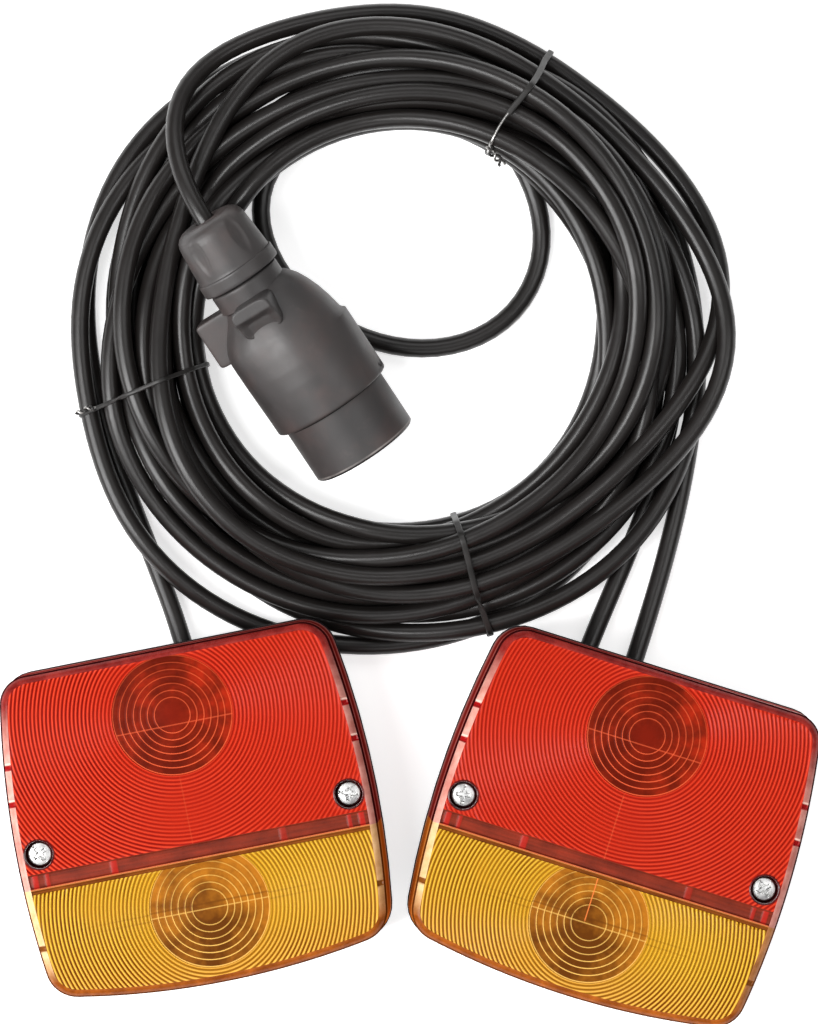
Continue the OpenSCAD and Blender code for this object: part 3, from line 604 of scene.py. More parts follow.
def round_rect(w, h, r, n=4):
    out = []
    for cx, cy, a0 in ((w / 2 - r, h / 2 - r, 0), (-w / 2 + r, h / 2 - r, 90), (-w / 2 + r, -h / 2 + r, 180), (w / 2 - r, -h / 2 + r, 270)):
        out += [(cx + r * math.cos(math.radians(a0 + 90 * k / n)), cy + r * math.sin(math.radians(a0 + 90 * k / n))) for k in range(n + 1)]
    return out

def tube(path, radius, sides=10, caps=True):
    """a round wire along a path, with turned frames that don't twist"""
    path = np.asarray(path, float)
    t = np.gradient(path, axis=0); t /= np.linalg.norm(t, axis=1)[:, None]
    n = np.cross(t[0], (0.0, 0.0, 1.0) if abs(t[0][2]) < 0.9 else (1.0, 0.0, 0.0)); n /= np.linalg.norm(n)
    verts = []
    rad = np.broadcast_to(np.asarray(radius, float), (len(path),))
    for i in range(len(path)):
        n = n - (n @ t[i]) * t[i]; n /= np.linalg.norm(n)
        b = np.cross(t[i], n)
        verts += [path[i] + rad[i] * (math.cos(2 * math.pi * c / sides) * n + math.sin(2 * math.pi * c / sides) * b) for c in range(sides)]
    faces = []
    for i in range(len(path) - 1):
        faces += [(i * sides + c, i * sides + (c + 1) % sides, (i + 1) * sides + (c + 1) % sides, (i + 1) * sides + c) for c in range(sides)]
    if caps:
        faces += [tuple(range(sides))[::-1], tuple((len(path) - 1) * sides + c for c in range(sides))]
    return verts, faces

def tie_coat():
    t = Tree("tie_coat")
    n = t.noise(160.0, 4.0)
    t.put(Base_Color=t.ramp(n, [(0.35, srgb(25, 24, 23)), (0.7, srgb(42, 40, 39))]), Roughness=t.remap(n, 0.3, 0.7, 0.34, 0.5), Normal=t.bump(n, 0.0002, 0.4), Specular_IOR_Level=0.32)
    return t.m

def tie_wire():
    t = Tree("tie_wire")
    n = t.noise(120.0, 2.0)
    t.put(Base_Color=t.ramp(n, [(0.35, srgb(150, 148, 146)), (0.7, srgb(205, 203, 200))]), Metallic=1.0, Roughness=t.remap(n, 0.3, 0.7, 0.3, 0.42), Normal=t.bump(n, 0.00005, 0.2))
    return t.m

TIE_COAT, TIE_WIRE = tie_coat(), tie_wire()

def twisted(path, gap, turns_n, radius, sides=8):
    """two wires wound round a path"""
    path = np.asarray(path, float)
    t = np.gradient(path, axis=0); t /= np.linalg.norm(t, axis=1)[:, None]
    n = np.cross(t, (0.0, 0.0, 1.0)); n /= np.linalg.norm(n, axis=1)[:, None]
    b = np.cross(t, n)
    f = np.linspace(0, 2 * math.pi * turns_n, len(path))
    out = ([], [])
    for ph in (0.0, math.pi):
        q = path + gap * (np.cos(f + ph)[:, None] * n + np.sin(f + ph)[:, None] * b)
        v, fc = tube(q, radius, sides)
        base = len(out[0])
        out[0].extend(v); out[1].extend([tuple(i + base for i in g) for g in fc])
    return out

def make_tie(name, th, width, thick, slant, bare_below=None, twist_at=None, wave=0.0, end=None):
    """a coated wire tie round the bundle: bare below a distance from the coil's centre, turned over once at one, with a twisted end"""
    u, s = tie_frame(th)
    p = tie_path(th, thick / 2 + 0.05, 240)
    c3 = np.array([CENTRE[0], CENTRE[1], 0.0])
    mid_r, on_top = p[:, 0].mean(), p[:, 1] > p[:, 1].mean()
    bend = np.where(on_top, wave * np.sin((p[:, 0] - p[:, 0].min()) / 36.0 * 2 * math.pi), 0.0)
    path = c3 + p[:, :1] * u + np.outer(p[:, 1], (0, 0, 1)) + np.outer((p[:, 0] - mid_r) * slant + bend, s)
    V, F, M = [], [], []
    def add(v, f, m):
        base = len(V)
        V.extend(v); F.extend([tuple(i + base for i in g) for g in f]); M.extend([m] * len(f))
    flat = round_rect(width, thick, thick * 0.49)
    if bare_below is None:
        roll = None
        if twist_at:
            roll = np.where(on_top, math.pi / (1 + np.exp(-(p[:, 0] - twist_at) / 1.1)), np.where(p[:, 0] > twist_at, math.pi, 0.0))
        v, f = sweep(path, flat, s, roll=roll)
        add(v, f, 0)
    else:
        bare = on_top & (p[:, 0] < bare_below)
        # the bare run starts where the one before it isn't bare
        k0 = next(i for i in range(len(p)) if bare[i] and not bare[i - 1])
        order = np.roll(np.arange(len(p)), -k0)
        nb = int(np.argmin(bare[order]))
        v, f = tube(path[order[:nb + 2]], thick * 0.5, 12); add(v, f, 1)
        rest = np.concatenate([order[nb:], order[:2]])
        v, f = sweep(path[rest], flat, s, closed=False); add(v, f, 0)
    if end:
        at_r, direction, length, twists, gap, wire = end
        i = int(np.argmin(np.abs(p[:, 0] - at_r) - 1000 * on_top))
        d = np.linspace(0, length, 80)[:, None]
        way = direction[0] * u + direction[1] * s + np.array([0, 0, direction[2]])
        q = path[i] + np.array([0, 0, gap + wire * 0.6]) + d * way + np.sin(d / length * 5.5) * 0.5 * np.cross(way, (0, 0, 1.0))
        v, f = twisted(q, gap, twists, wire, 10)
        add(v, f, 1)
        for k in range(len(f) // 2):
            M[-1 - k] = 0
    o = mesh_object(name, V, F, (TIE_COAT, TIE_WIRE), indices=M)
    sharpen(o, 50)
    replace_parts(o, name.replace("_look", ""))
    return o

ties = [make_tie("upper_tie_look", 62.2, 2.1, 1.0, -0.07, bare_below=79.0, wave=0.9, end=(66.0, (-0.5, -0.84, -0.2), 7.5, 1.6, 0.95, 0.45)),
        make_tie("left_tie_look", 193.5, 1.5, 0.8, 0.15, twist_at=96.0, end=(104.5, (1.0, -0.12, -0.3), 6.5, 2.2, 0.5, 0.4)),
        make_tie("lower_tie_look", 286.2, 2.1, 0.9, 0.01, twist_at=95.0, wave=0.35)]
# ---------------------------------------------------------------- lamps
# A lens is drawn in its lamp's own millimetres (u across, v up, seam at v = 0) and then set down where the lamp lies.
PITCH = 1.28
RED_C, AMBER_C = (0.0, 47.3), (0.0, -16.2)
DISC = 19.4
WELLS = ((-51.3, 11.1), (51.3, 11.1))
WELL_R = 4.55
LW, LYC, LRS, LT, LB, LRB = 60.4, 10.0, 300.0, 69.6, 42.7, 270.0

def edge_path(inset, upper, n_side=110, n_corner=12, n_end=60):
    """the outline of the upper or lower lens, from the right end of the seam round to the left end"""
    rc = (11.0 if upper else 12.0) - inset
    sx, sr = LW - LRS, LRS - inset
    a0 = math.asin((0.0 - LYC) / sr)
    if upper:
        ty = LT - inset - rc
        d = LRS - inset - rc
        c = (sx + math.sqrt(d * d - (ty - LYC) ** 2), ty)
        a1 = math.atan2(c[1] - LYC, c[0] - sx)
        side = [(sx + sr * math.cos(a0 + (a1 - a0) * k / n_side), LYC + sr * math.sin(a0 + (a1 - a0) * k / n_side)) for k in range(n_side + 1)]
        corner = [(c[0] + rc * math.cos(a1 + (math.pi / 2 - a1) * k / n_corner), c[1] + rc * math.sin(a1 + (math.pi / 2 - a1) * k / n_corner)) for k in range(1, n_corner + 1)]
        end = [(c[0] - 2 * c[0] * k / n_end, LT - inset) for k in range(1, n_end)]
    else:
        fc = (0.0, LRB - LB)
        r0, r1 = LRS - inset - rc, LRB - inset - rc
        vx, vy = fc[0] - sx, fc[1] - LYC
        dd = math.hypot(vx, vy)
        a = (r0 * r0 - r1 * r1 + dd * dd) / (2 * dd)
        h = math.sqrt(r0 * r0 - a * a)
        c = (sx + vx * a / dd + h * vy / dd, LYC + vy * a / dd - h * vx / dd)
        a1 = math.atan2(c[1] - LYC, c[0] - sx)
        a2 = math.atan2(c[1] - fc[1], c[0] - fc[0])
        fr = LRB - inset
        side = [(sx + sr * math.cos(a0 + (a1 - a0) * k / n_side), LYC + sr * math.sin(a0 + (a1 - a0) * k / n_side)) for k in range(n_side + 1)]
        corner = [(c[0] + rc * math.cos(a1 + (a2 - a1) * k / n_corner), c[1] + rc * math.sin(a1 + (a2 - a1) * k / n_corner)) for k in range(1, n_corner + 1)]
        b2 = -math.pi - a2
        end = [(fr * math.cos(a2 + (b2 - a2) * k / n_end), fc[1] + fr * math.sin(a2 + (b2 - a2) * k / n_end)) for k in range(1, n_end)]
    half = side + corner
    return half + end + [(-x, y) for x, y in reversed(half)]

def ray_reach(c, th, poly):
    dx, dy = math.cos(th), math.sin(th)
    best = 1e9
    for (x0, y0), (x1, y1) in zip(poly, poly[1:] + poly[:1]):
        ex, ey = x1 - x0, y1 - y0
        den = dx * ey - dy * ex
        if abs(den) < 1e-12:
            continue
        t = ((x0 - c[0]) * ey - (y0 - c[1]) * ex) / den
        s = ((x0 - c[0]) * dy - (y0 - c[1]) * dx) / den
        if t > 0 and -1e-9 <= s <= 1 + 1e-9:
            best = min(best, t)
    return best

def tabs(x):
    """the small ribs that show in the band over the seam"""
    return max(max(0.0, 1 - (abs(abs(x) - c) / w) ** 4) for c, w in ((54, 1.2), (50, 0.8), (28, 1.3)))

def lens_object(name, lamp, upper, mats):
    sgn = 1.0 if upper else -1.0
    cen = RED_C if upper else AMBER_C
    V, F, M = [], [], []
    def add(v, f, m, flip=False):
        base = len(V)
        V.extend(v)
        for g in f:
            g = tuple(i + base for i in g)
            F.append(g[::-1] if flip else g); M.append(m)
    # walls and bevel, from the gasket up to the face: inset, height, material
    notches = (28.5, 40.5) if upper else (-19.3,)
    prof = [(0.4, 16.0, 1), (0.5, 18.5, 1), (0.95, 30.0, 1), (1.4, 42.0, 1), (1.5, 45.3, 1), (2.05, 46.15, 2), (2.55, 46.95, 2), (3.3, 47.65, 2), (3.95, 47.96, 2), (4.15, 48.0, 0)]
    rings = []
    for inset, z, m in prof:
        ring = []
        for x, y in edge_path(inset, upper):
            dz = 0.0
            if 2.4 < inset < 4.0 and abs(x) > 40:
                k = max(max(0.0, 1 - (abs(y - n) / 1.1) ** 6) for n in notches)
                dz = -0.9 * k
            if upper:
                y += 1.0 * min(1.0, max(0.0, (y - 20) / 40)) * (z - 16) / 32
            ring.append((x, y, z + dz))
        rings.append(ring)
    n = len(rings[0])
    # the fluted foot: the wall goes in and out a little along its length
    for ri in (2, 3):
        moved = []
        for i, (x, y, z) in enumerate(rings[ri]):
            w = 0.16 * math.cos(i * math.pi) if (not upper and abs(x) < 50 and y < -30) else 0.0
            moved.append((x, y + w * sgn, z))
        rings[ri] = moved
    for (a, b, p) in zip(rings, rings[1:], prof[:-1]):
        v = a + b
        f = [(i, i + 1, n + i + 1, n + i) for i in range(n - 1)]
        add(v, f, p[2], flip=not upper)
    # the field, on circles round the bullseye
    top = rings[-1]
    ys = 5.0 if upper else -1.5
    poly = [(x, y) for x, y, z in top if (y > ys if upper else y < ys)]
    xr = np.interp(ys, *(zip(*sorted((y, x) for x, y, z in top[:112])))) if upper else np.interp(ys, *(zip(*sorted((y, x) for x, y, z in top[:112]))))
    poly = [(xr, ys)] + poly + [(-xr, ys)]
    steps = 240
    angles = [2 * math.pi * k / steps for k in range(steps)]
    angles += [math.atan2(y - cen[1], x - cen[0]) % (2 * math.pi) for x, y in ((xr, ys), (-xr, ys))]
    angles = sorted(set(angles))
    m_ = len(angles)
    reach = [ray_reach(cen, a, poly) for a in angles]
    radii = [0.0, 1.5, 3.0, 4.5]
    for k in range(7):
        c = 5.8 + 2.265 * k
        radii += [c - 0.24, c - 0.08, c + 0.08, c + 0.3] + ([c + 0.9, c + 1.5] if k < 6 else [])
    start = DISC + 0.45
    q = start
    while q < max(reach):
        radii.append(q); q += PITCH / 4
    radii.append(max(reach) + 0.1)
    def height(r):
        if r < DISC + 0.35:
            # stepped rings: each zone is a little crowned, with a raised line between
            k = (r - 5.8) / 2.265
            fr = k - math.floor(k)
            line = max(0.0, 1 - abs(((k + 0.5) % 1.0) - 0.5) * 2.265 / 0.22) if r > 5 else 0.0
            crown = (0.5 - abs(fr - 0.5)) * 0.12 if r > 5.8 else 0.1 * (1 - (r / 5.8) ** 2)
            return -0.4 + crown + 0.24 * line
        return 0.20 * math.cos(2 * math.pi * (r - start) / PITCH) - 0.12
    grid = {}
    pts = []
    for j, (a, rho) in enumerate(zip(angles, reach)):
        for k, r in enumerate(radii):
            rr = min(r, rho)
            x, y = cen[0] + rr * math.cos(a), cen[1] + rr * math.sin(a)
            edge = min(1.0, max(0.0, (rho - rr) / 0.7))
            z = 48.0 + height(rr) * edge
            for wx, wy in WELLS:
                d = math.hypot(x - wx, y - wy)
                if upper and d < WELL_R + 0.9:
                    if d < WELL_R + 0.55:
                        f = (WELL_R + 0.55) / max(d, 1e-6)
                        x, y = wx + (x - wx) * f, wy + (y - wy) * f
                    z = 48.0 - 0.05
            grid[j, k] = len(pts)
            pts.append((x, y, z, rr < r, upper and any(math.hypot(cen[0] + rr * math.cos(a) - wx, cen[1] + rr * math.sin(a) - wy) < WELL_R + 0.55 for wx, wy in WELLS)))
    faces = []
    for j in range(m_):
        j2 = (j + 1) % m_
        for k in range(len(radii) - 1):
            q = [grid[j, k], grid[j, k + 1], grid[j2, k + 1], grid[j2, k]]
            if pts[q[0]][3] and pts[q[3]][3]:
                continue
            if all(pts[i][4] for i in q):
                continue
            if k == 0:
                q = [q[0], q[1], q[2]]
            faces.append((tuple(q), 5 if radii[k + 1] <= start else 0))
    for m in (0, 5):
        add([p[:3] for p in pts], [f for f, fm in faces if fm == m], m)
    # the strip between the field and the seam
    nx = 330
    rows = [(5.0, 48.0), (4.75, 47.95), (4.45, 47.45), (2.9, 47.38), (1.2, 47.38), (0.75, 47.45), (0.5, 47.9), (0.3, 48.12), (0.04, 48.12)] if upper else \
           [(-1.5, 48.0), (-1.35, 47.7), (-0.75, 47.55), (-0.5, 47.9), (-0.3, 48.05), (-0.04, 48.05)]
    side = sorted((y, x) for x, y, z in top[:112])
    sy, sx_ = [p[0] for p in side], [p[1] for p in side]
    v = []
    for y, z in rows:
        hw = float(np.interp(y, sy, sx_))
        for i in range(nx + 1):
            x = -hw + 2 * hw * i / nx
            zz = z + (0.2 * tabs(x) if upper and 1.0 < y < 4.6 else 0.0)
            v.append((x, y, min(zz, 48.12)))
    f = [(r * (nx + 1) + i, r * (nx + 1) + i + 1, (r + 1) * (nx + 1) + i + 1, (r + 1) * (nx + 1) + i) for r in range(len(rows) - 1) for i in range(nx)]
    add(v, f, 3, flip=upper)
    # inside of the shell, its lower rim, and its face at the seam
    def round_bosses(path):
        """leads the inside of the wall round the screws' bosses"""
        path = list(path)
        for wx, wy in WELLS if upper else ():
            near = [i for i, (x, y) in enumerate(path) if math.hypot(x - wx, y - wy) < 7.0]
            if near:
                i0, i1 = near[0], near[-1]
                a0 = math.atan2(path[i0][1] - wy, path[i0][0] - wx)
                a1 = math.atan2(path[i1][1] - wy, path[i1][0] - wx)
                span = (a1 - a0) % (2 * math.pi)
                if span < math.pi:
                    span -= 2 * math.pi
                for k, i in enumerate(range(i0, i1 + 1)):
                    a = a0 + span * k / max(1, i1 - i0)
                    path[i] = (wx + 7.0 * math.cos(a), wy + 7.0 * math.sin(a))
        return path
    inner_lo, inner_hi = [(x, y, 16.0) for x, y in round_bosses(edge_path(2.6, upper))], [(x, y, 45.7) for x, y in round_bosses(edge_path(4.5, upper))]
    v = rings[0] + inner_lo
    add(v, [(i, i + 1, n + i + 1, n + i) for i in range(n - 1)], 1, flip=upper)
    v = inner_lo + inner_hi
    add(v, [(i, i + 1, n + i + 1, n + i) for i in range(n - 1)], 1, flip=upper)
    add(inner_hi, [tuple(range(n))], 1, flip=upper)
    yy = 0.04 * sgn
    sec = [(r[0][0], r[0][2]) for r in rings]
    si = [(inner_lo[0][0], 16.0), (inner_hi[0][0], 45.7)]
    loop = [(x, yy, z) for x, z in sec] + [(-x, yy, z) for x, z in reversed(sec)] + [(-x, yy, z) for x, z in si] + [(x, yy, z) for x, z in reversed(si)]
    add(loop, [tuple(range(len(loop)))], 1, flip=upper)
    # the screws' wells
    if upper:
        for wx, wy in WELLS:
            rp = [(WELL_R + 0.55, 47.95), (WELL_R + 0.45, 48.25), (WELL_R + 0.2, 48.32), (WELL_R + 0.02, 48.2), (WELL_R - 0.05, 47.8), (WELL_R - 0.15, 44.0), (WELL_R - 0.25, 41.4), (WELL_R - 0.5, 41.05), (2.0, 41.0), (2.0, 39.2), (6.6, 39.0), (6.9, 45.7)]
            s = 56
            v = [(wx + r * math.cos(2 * math.pi * k / s), wy + r * math.sin(2 * math.pi * k / s), z) for r, z in rp for k in range(s)]
            for i in range(len(rp) - 1):
                add(v[i * s:(i + 2) * s], [(k, (k + 1) % s, s + (k + 1) % s, s + k) for k in range(s)], 4)
    out = []
    for x, y, z in V:
        X_, Y_ = on_lamp(x, y, lamp)
        out.append((X_, Y_, z))
    o = mesh_object(name, out, F, mats, indices=M)
    bm = bmesh.new(); bm.from_mesh(o.data)
    bmesh.ops.remove_doubles(bm, verts=bm.verts, dist=0.00001)
    bmesh.ops.dissolve_degenerate(bm, edges=bm.edges, dist=0.000004)
    bm.to_mesh(o.data); bm.free()
    sharpen(o, 38)
    return o

def local_mm(t, lamp):
    n = t.node("Mapping", p_vector_type="TEXTURE", Vector=t.coords(), Location=(lamp[0][0] * MM, lamp[0][1] * MM, 0.0), Rotation=(0.0, 0.0, math.radians(lamp[1])), Scale=(MM, MM, MM))
    s = t.node("SeparateXYZ", Vector=n.outputs[0])
    return n.outputs[0], s.outputs[0], s.outputs[1], s.outputs[2]

def radius_from(t, u, v, c):
    du, dv = t.math("SUBTRACT", u, c[0]), t.math("SUBTRACT", v, c[1])
    return t.math("SQRT", t.math("ADD", t.math("MULTIPLY", du, du), t.math("MULTIPLY", dv, dv)))

def thin_line(t, value, at, half):
    """1 where value is within half of at, falling off softly"""
    return t.remap(t.math("ABSOLUTE", t.math("SUBTRACT", value, at)), half * 0.5, half, 1.0, 0.0)

def field_material(name, lamp, upper, disc_part):
    t = Tree(name)
    p, u, v, z = local_mm(t, lamp)
    cen = RED_C if upper else AMBER_C
    r = radius_from(t, u, v, cen)
    wave = t.math("COSINE", t.math("MULTIPLY", t.math("SUBTRACT", r, DISC + 0.45), 2 * math.pi / PITCH))
    wave = t.math("MULTIPLY_ADD", wave, 0.5, 0.5)
    big = t.noise(0.028, 2.0, 0.5, p)
    mid = t.noise(0.11, 3.0, 0.6, p)
    fine = t.noise(0.9, 3.0, 0.6, p)
    if upper:
        stops = [(0.0, srgb(90, 4, 3)), (0.32, srgb(124, 9, 6)), (0.58, srgb(194, 41, 20)), (1.0, srgb(216, 74, 46))]
        mean, glow = srgb(170, 34, 17), srgb(188, 44, 18)
        d_dark, d_mid, d_glow, line = srgb(88, 18, 5), srgb(110, 25, 8), srgb(154, 34, 12), srgb(206, 84, 50)
    else:
        stops = [(0.0, srgb(86, 44, 4)), (0.32, srgb(118, 66, 7)), (0.58, srgb(198, 148, 27)), (1.0, srgb(220, 182, 68))]
        mean, glow = srgb(186, 134, 28), srgb(188, 128, 26)
        d_dark, d_mid, d_glow, line = srgb(90, 47, 9), srgb(124, 72, 17), srgb(166, 101, 25), srgb(224, 176, 90)
    # painted shade and light on the ribs: dark in each groove, light on each crest
    ribs = t.ramp(wave, stops)
    # the painted rib shading shows less close to the disc, in patches and towards one side
    near_disc = t.remap(r, 19.4, 33.0, 0.62, 0.0)
    patch = t.remap(big, 0.52, 0.66, 0.0, 0.45)
    calm = (0.2 if lamp is LEFT else 0.4, 0.62) if upper else (0.0, 0.2)
    patch = t.math("MAXIMUM", patch, t.remap(t.math("MULTIPLY", u, 1.0 if lamp is LEFT else -1.0), -12.0, 38.0, *calm))
    if upper:
        # the painted rib shading is also calm between the disc and the seam
        patch = t.math("MAXIMUM", patch, t.remap(radius_from(t, t.math("MULTIPLY", u, 0.7), v, (0.0, 16.0)), 5.0, 22.0, 0.68, 0.0))
    ribs = t.mix(t.math("MAXIMUM", near_disc, patch), ribs, mean)
    # towards the bottom the painted rib shading turns more orange
    if not upper:
        ribs = t.mix(t.remap(v, -20.0, -38.0, 0.0, 0.55), ribs, t.ramp(wave, [(0.0, srgb(96, 40, 5)), (0.35, srgb(146, 78, 16)), (1.0, srgb(238, 178, 90))]))
    ribs = t.mix(t.remap(mid, 0.35, 0.7, 0.0, 0.18), ribs, glow)
    if not upper:
        # a golden patch beside the disc
        far = radius_from(t, t.math("MULTIPLY", u, 0.8), v, (26.0, -15.0))
        ribs = t.mix(t.remap(far, 3.0, 17.0, 0.3, 0.0), ribs, srgb(204, 154, 34))
    # the disc: painted shade of the lamp's dark inside behind it, with painted glow growing towards one side
    painted_glow = t.math("MAXIMUM", t.math("MULTIPLY", u, 0.013 if upper else 0.011), t.math("MULTIPLY", u, -0.002 if upper else -0.005))
    dv = t.math("SUBTRACT", v, cen[1])
    painted_glow = t.math("ADD", painted_glow, t.math("MINIMUM", t.math("MULTIPLY", dv, 0.008), t.math("MULTIPLY", dv, -0.003 if upper else 0.008)))
    tone = t.math("ADD", t.math("ADD", mid, painted_glow), t.remap(r, 0.0, 19.4, -0.02 if lamp is LEFT else -0.1, -0.03 if upper else -0.01))
    disc = t.ramp(tone, [(0.36, d_dark), (0.52, d_mid), (0.74, d_glow)])
    if upper:
        disc = t.mix(t.remap(r, 1.5, 7.5, 0.45, 0.0), disc, srgb(128, 26, 10))
    # painted highlights: a thin light line on each ring step of the disc, brighter towards the lower side and in
    # patches
    phase = t.math("FRACT", t.math("ADD", t.math("MULTIPLY", t.math("SUBTRACT", r, 5.8), 1 / 2.265), 0.5))
    off = t.math("MULTIPLY", t.math("ABSOLUTE", t.math("SUBTRACT", phase, 0.5)), 2.265)
    ring_highlight = t.math("MULTIPLY", t.remap(off, 0.10, 0.24, 1.0, 0.0), t.remap(r, 4.6, 4.9, 0.0, 1.0))
    ring_highlight = t.math("MULTIPLY", ring_highlight, t.remap(t.math("ADD", t.math("MULTIPLY", t.math("SUBTRACT", v, cen[1]), -0.02), mid), 0.2, 0.75, 0.35, 0.95))
    disc = t.mix(ring_highlight, disc, line)
    cross = t.math("MULTIPLY", thin_line(t, v, cen[1] - (3.2 if upper else 0.4), 0.26), 0.5)
    disc = t.mix(cross, disc, line)
    if not upper:
        disc = t.mix(t.math("MULTIPLY", thin_line(t, v, cen[1] + 1.4, 0.4), 0.45), disc, d_dark)
    col = t.mix(t.remap(r, DISC + 0.12, DISC + 0.3, 0.0, 1.0), disc, ribs)
    if upper:
        thread = t.math("MULTIPLY", thin_line(t, u, -1.5, 0.2), t.remap(v, 26.0, 27.5, 0.55 if lamp is RIGHT else 0.3, 0.0))
        col = t.mix(thread, col, line)
    else:
        if lamp is RIGHT:
            thread = t.math("MULTIPLY", thin_line(t, u, -1.5, 0.24), t.remap(v, -16.5, -15.5, 0.0, 0.8))
            col = t.mix(thread, col, srgb(226, 120, 60))
        for at in (cen[1] + 1.0, cen[1] - 1.1):
            bar = t.math("MULTIPLY", thin_line(t, v, at, 0.35), t.remap(t.math("ABSOLUTE", u), 20.0, 44.0, 0.28, 0.0))
            col = t.mix(t.math("MULTIPLY", bar, t.remap(r, 19.4, 20.0, 0.0, 1.0)), col, d_dark)
    dust = t.noise(2.6, 4.0, 0.75, p)
    rough = t.remap(dust, 0.35, 0.75, 0.28, 0.44) if disc_part else t.remap(dust, 0.35, 0.75, 0.24, 0.4)
    t.put(Base_Color=col, Roughness=rough, Normal=t.bump(fine, 0.00004, 0.25), IOR=1.49, Specular_IOR_Level=0.03 if disc_part else 0.07)
    return t.m

def wall_material(name, lamp, upper):
    t = Tree(name)
    p, u, v, z = local_mm(t, lamp)
    n = t.noise(0.16, 4.0, 0.6, p)
    fine = t.noise(1.4, 3.0, 0.6, p)
    streak = t.noise(1.0, 3.0, 0.65, t.node("Mapping", p_vector_type="POINT", Vector=p, Scale=(0.03, 0.03, 0.4)).outputs[0])
    # painted light: the colour runs in bands up the wall, wavered by streaks, with a pale foot and a pale highlight
    # line high up along the moulded ridge
    h = t.remap(t.math("ADD", z, t.remap(streak, 0.3, 0.7, -1.3, 1.3)), 16.0, 46.0, 0.0, 1.0)
    if upper:
        col = t.ramp(h, [(0.0, srgb(186, 122, 116)), (0.22, srgb(168, 84, 78)), (0.34, srgb(132, 34, 30)), (0.62, srgb(112, 24, 20)), (0.74, srgb(150, 56, 50)), (0.8, srgb(196, 120, 112)), (0.86, srgb(112, 28, 24)), (1.0, srgb(84, 18, 16))])
        col = t.mix(t.remap(n, 0.35, 0.7, 0.0, 0.35), col, srgb(122, 30, 24))
        if lamp is RIGHT:
            # painted highlight: the ridge along the upper wall is paler towards its far end
            ridge_highlight = t.math("MULTIPLY", t.remap(z, 34.5, 37.0, 0.0, 0.8), t.remap(z, 39.5, 42.0, 1.0, 0.0))
            col = t.mix(t.math("MULTIPLY", ridge_highlight, t.math("MULTIPLY", t.remap(u, 0.0, 42.0, 0.0, 1.0), t.remap(v, 57.0, 64.0, 0.0, 1.0))), col, srgb(236, 206, 200))
    else:
        # the amber wall's painted light bands, as above
        col = t.ramp(h, [(0.0, srgb(232, 184, 152)), (0.12, srgb(206, 130, 70)), (0.3, srgb(190, 102, 34)), (0.7, srgb(180, 92, 26)), (0.8, srgb(210, 136, 66)), (1.0, srgb(136, 66, 18))])
        col = t.mix(t.remap(n, 0.35, 0.7, 0.0, 0.35), col, srgb(176, 92, 24))
        # painted highlights on the flutes of the foot, stronger towards the bottom
        flutes = t.math("MULTIPLY_ADD", t.math("COSINE", t.math("MULTIPLY", u, 2 * math.pi / 1.75)), 0.5, 0.5)
        col = t.mix(t.math("MULTIPLY", flutes, t.remap(v, -28.0, -36.0, 0.0, 0.4)), col, srgb(210, 134, 54))
    # painted shade: a dark line along the outer edge of the bevel
    col = t.mix(t.remap(z, 45.0, 45.3, 0.0, 0.95), col, srgb(46, 10, 12) if upper else srgb(84, 40, 12))
    t.put(Base_Color=col, Roughness=t.remap(fine, 0.3, 0.7, 0.3, 0.5), Normal=t.bump(fine, 0.00005, 0.3), IOR=1.49, Specular_IOR_Level=0.0)
    return t.m

def bevel_material(name, lamp, upper):
    t = Tree(name)
    p, u, v, z = local_mm(t, lamp)
    n = t.noise(0.2, 3.0, 0.6, p)
    fine = t.noise(1.8, 3.0, 0.6, p)
    # painted reflection: the bevel turns pale along the lamp's sides, fading towards the lens's outer end and towards
    # the right
    side = t.remap(t.math("ABSOLUTE", u), 44.0, 53.0, 0.0, 1.0)
    if upper:
        dark = t.ramp(n, [(0.35, srgb(104, 22, 20)), (0.7, srgb(146, 44, 38))])
        pale_reflection = t.ramp(n, [(0.35, srgb(192, 122, 110)), (0.7, srgb(216, 164, 150))])
        f = t.math("MULTIPLY", side, t.remap(v, 60.0, 44.0, 0.0, 1.0))
        f = t.math("MULTIPLY", f, t.remap(u, 20.0, 50.0, 1.0, 0.6))
        col = t.mix(f, dark, pale_reflection)
        # painted shade in the notches, and a painted highlight on the lip above each
        for at in (28.5, 40.5):
            hole = t.math("MULTIPLY", t.remap(t.math("ABSOLUTE", t.math("SUBTRACT", v, at)), 0.75, 1.0, 1.0, 0.0), side)
            col = t.mix(hole, col, srgb(150, 14, 16))
            lip_highlight = t.math("MULTIPLY", thin_line(t, v, at + 1.35, 0.4), side)
            col = t.mix(t.math("MULTIPLY", lip_highlight, 0.8), col, srgb(246, 206, 190))
    else:
        dark = t.ramp(n, [(0.35, srgb(122, 58, 12)), (0.7, srgb(164, 86, 24))])
        pale_reflection = t.ramp(n, [(0.35, srgb(208, 162, 108)), (0.7, srgb(226, 196, 148))])
        f = t.math("MULTIPLY", side, t.remap(v, -31.0, -22.0, 0.0, 1.0))
        f = t.math("MULTIPLY", f, t.remap(u, 20.0, 50.0, 1.0, 0.2 if lamp is RIGHT else 0.6))
        col = t.mix(f, dark, pale_reflection)
        # painted shade in the notch
        hole = t.math("MULTIPLY", t.remap(t.math("ABSOLUTE", t.math("SUBTRACT", v, -19.3)), 0.75, 1.0, 1.0, 0.0), side)
        col = t.mix(hole, col, srgb(120, 66, 20))
    t.put(Base_Color=col, Roughness=t.remap(fine, 0.3, 0.7, 0.2, 0.32), Normal=t.bump(fine, 0.00004, 0.3), IOR=1.49, Specular_IOR_Level=0.1)
    return t.m

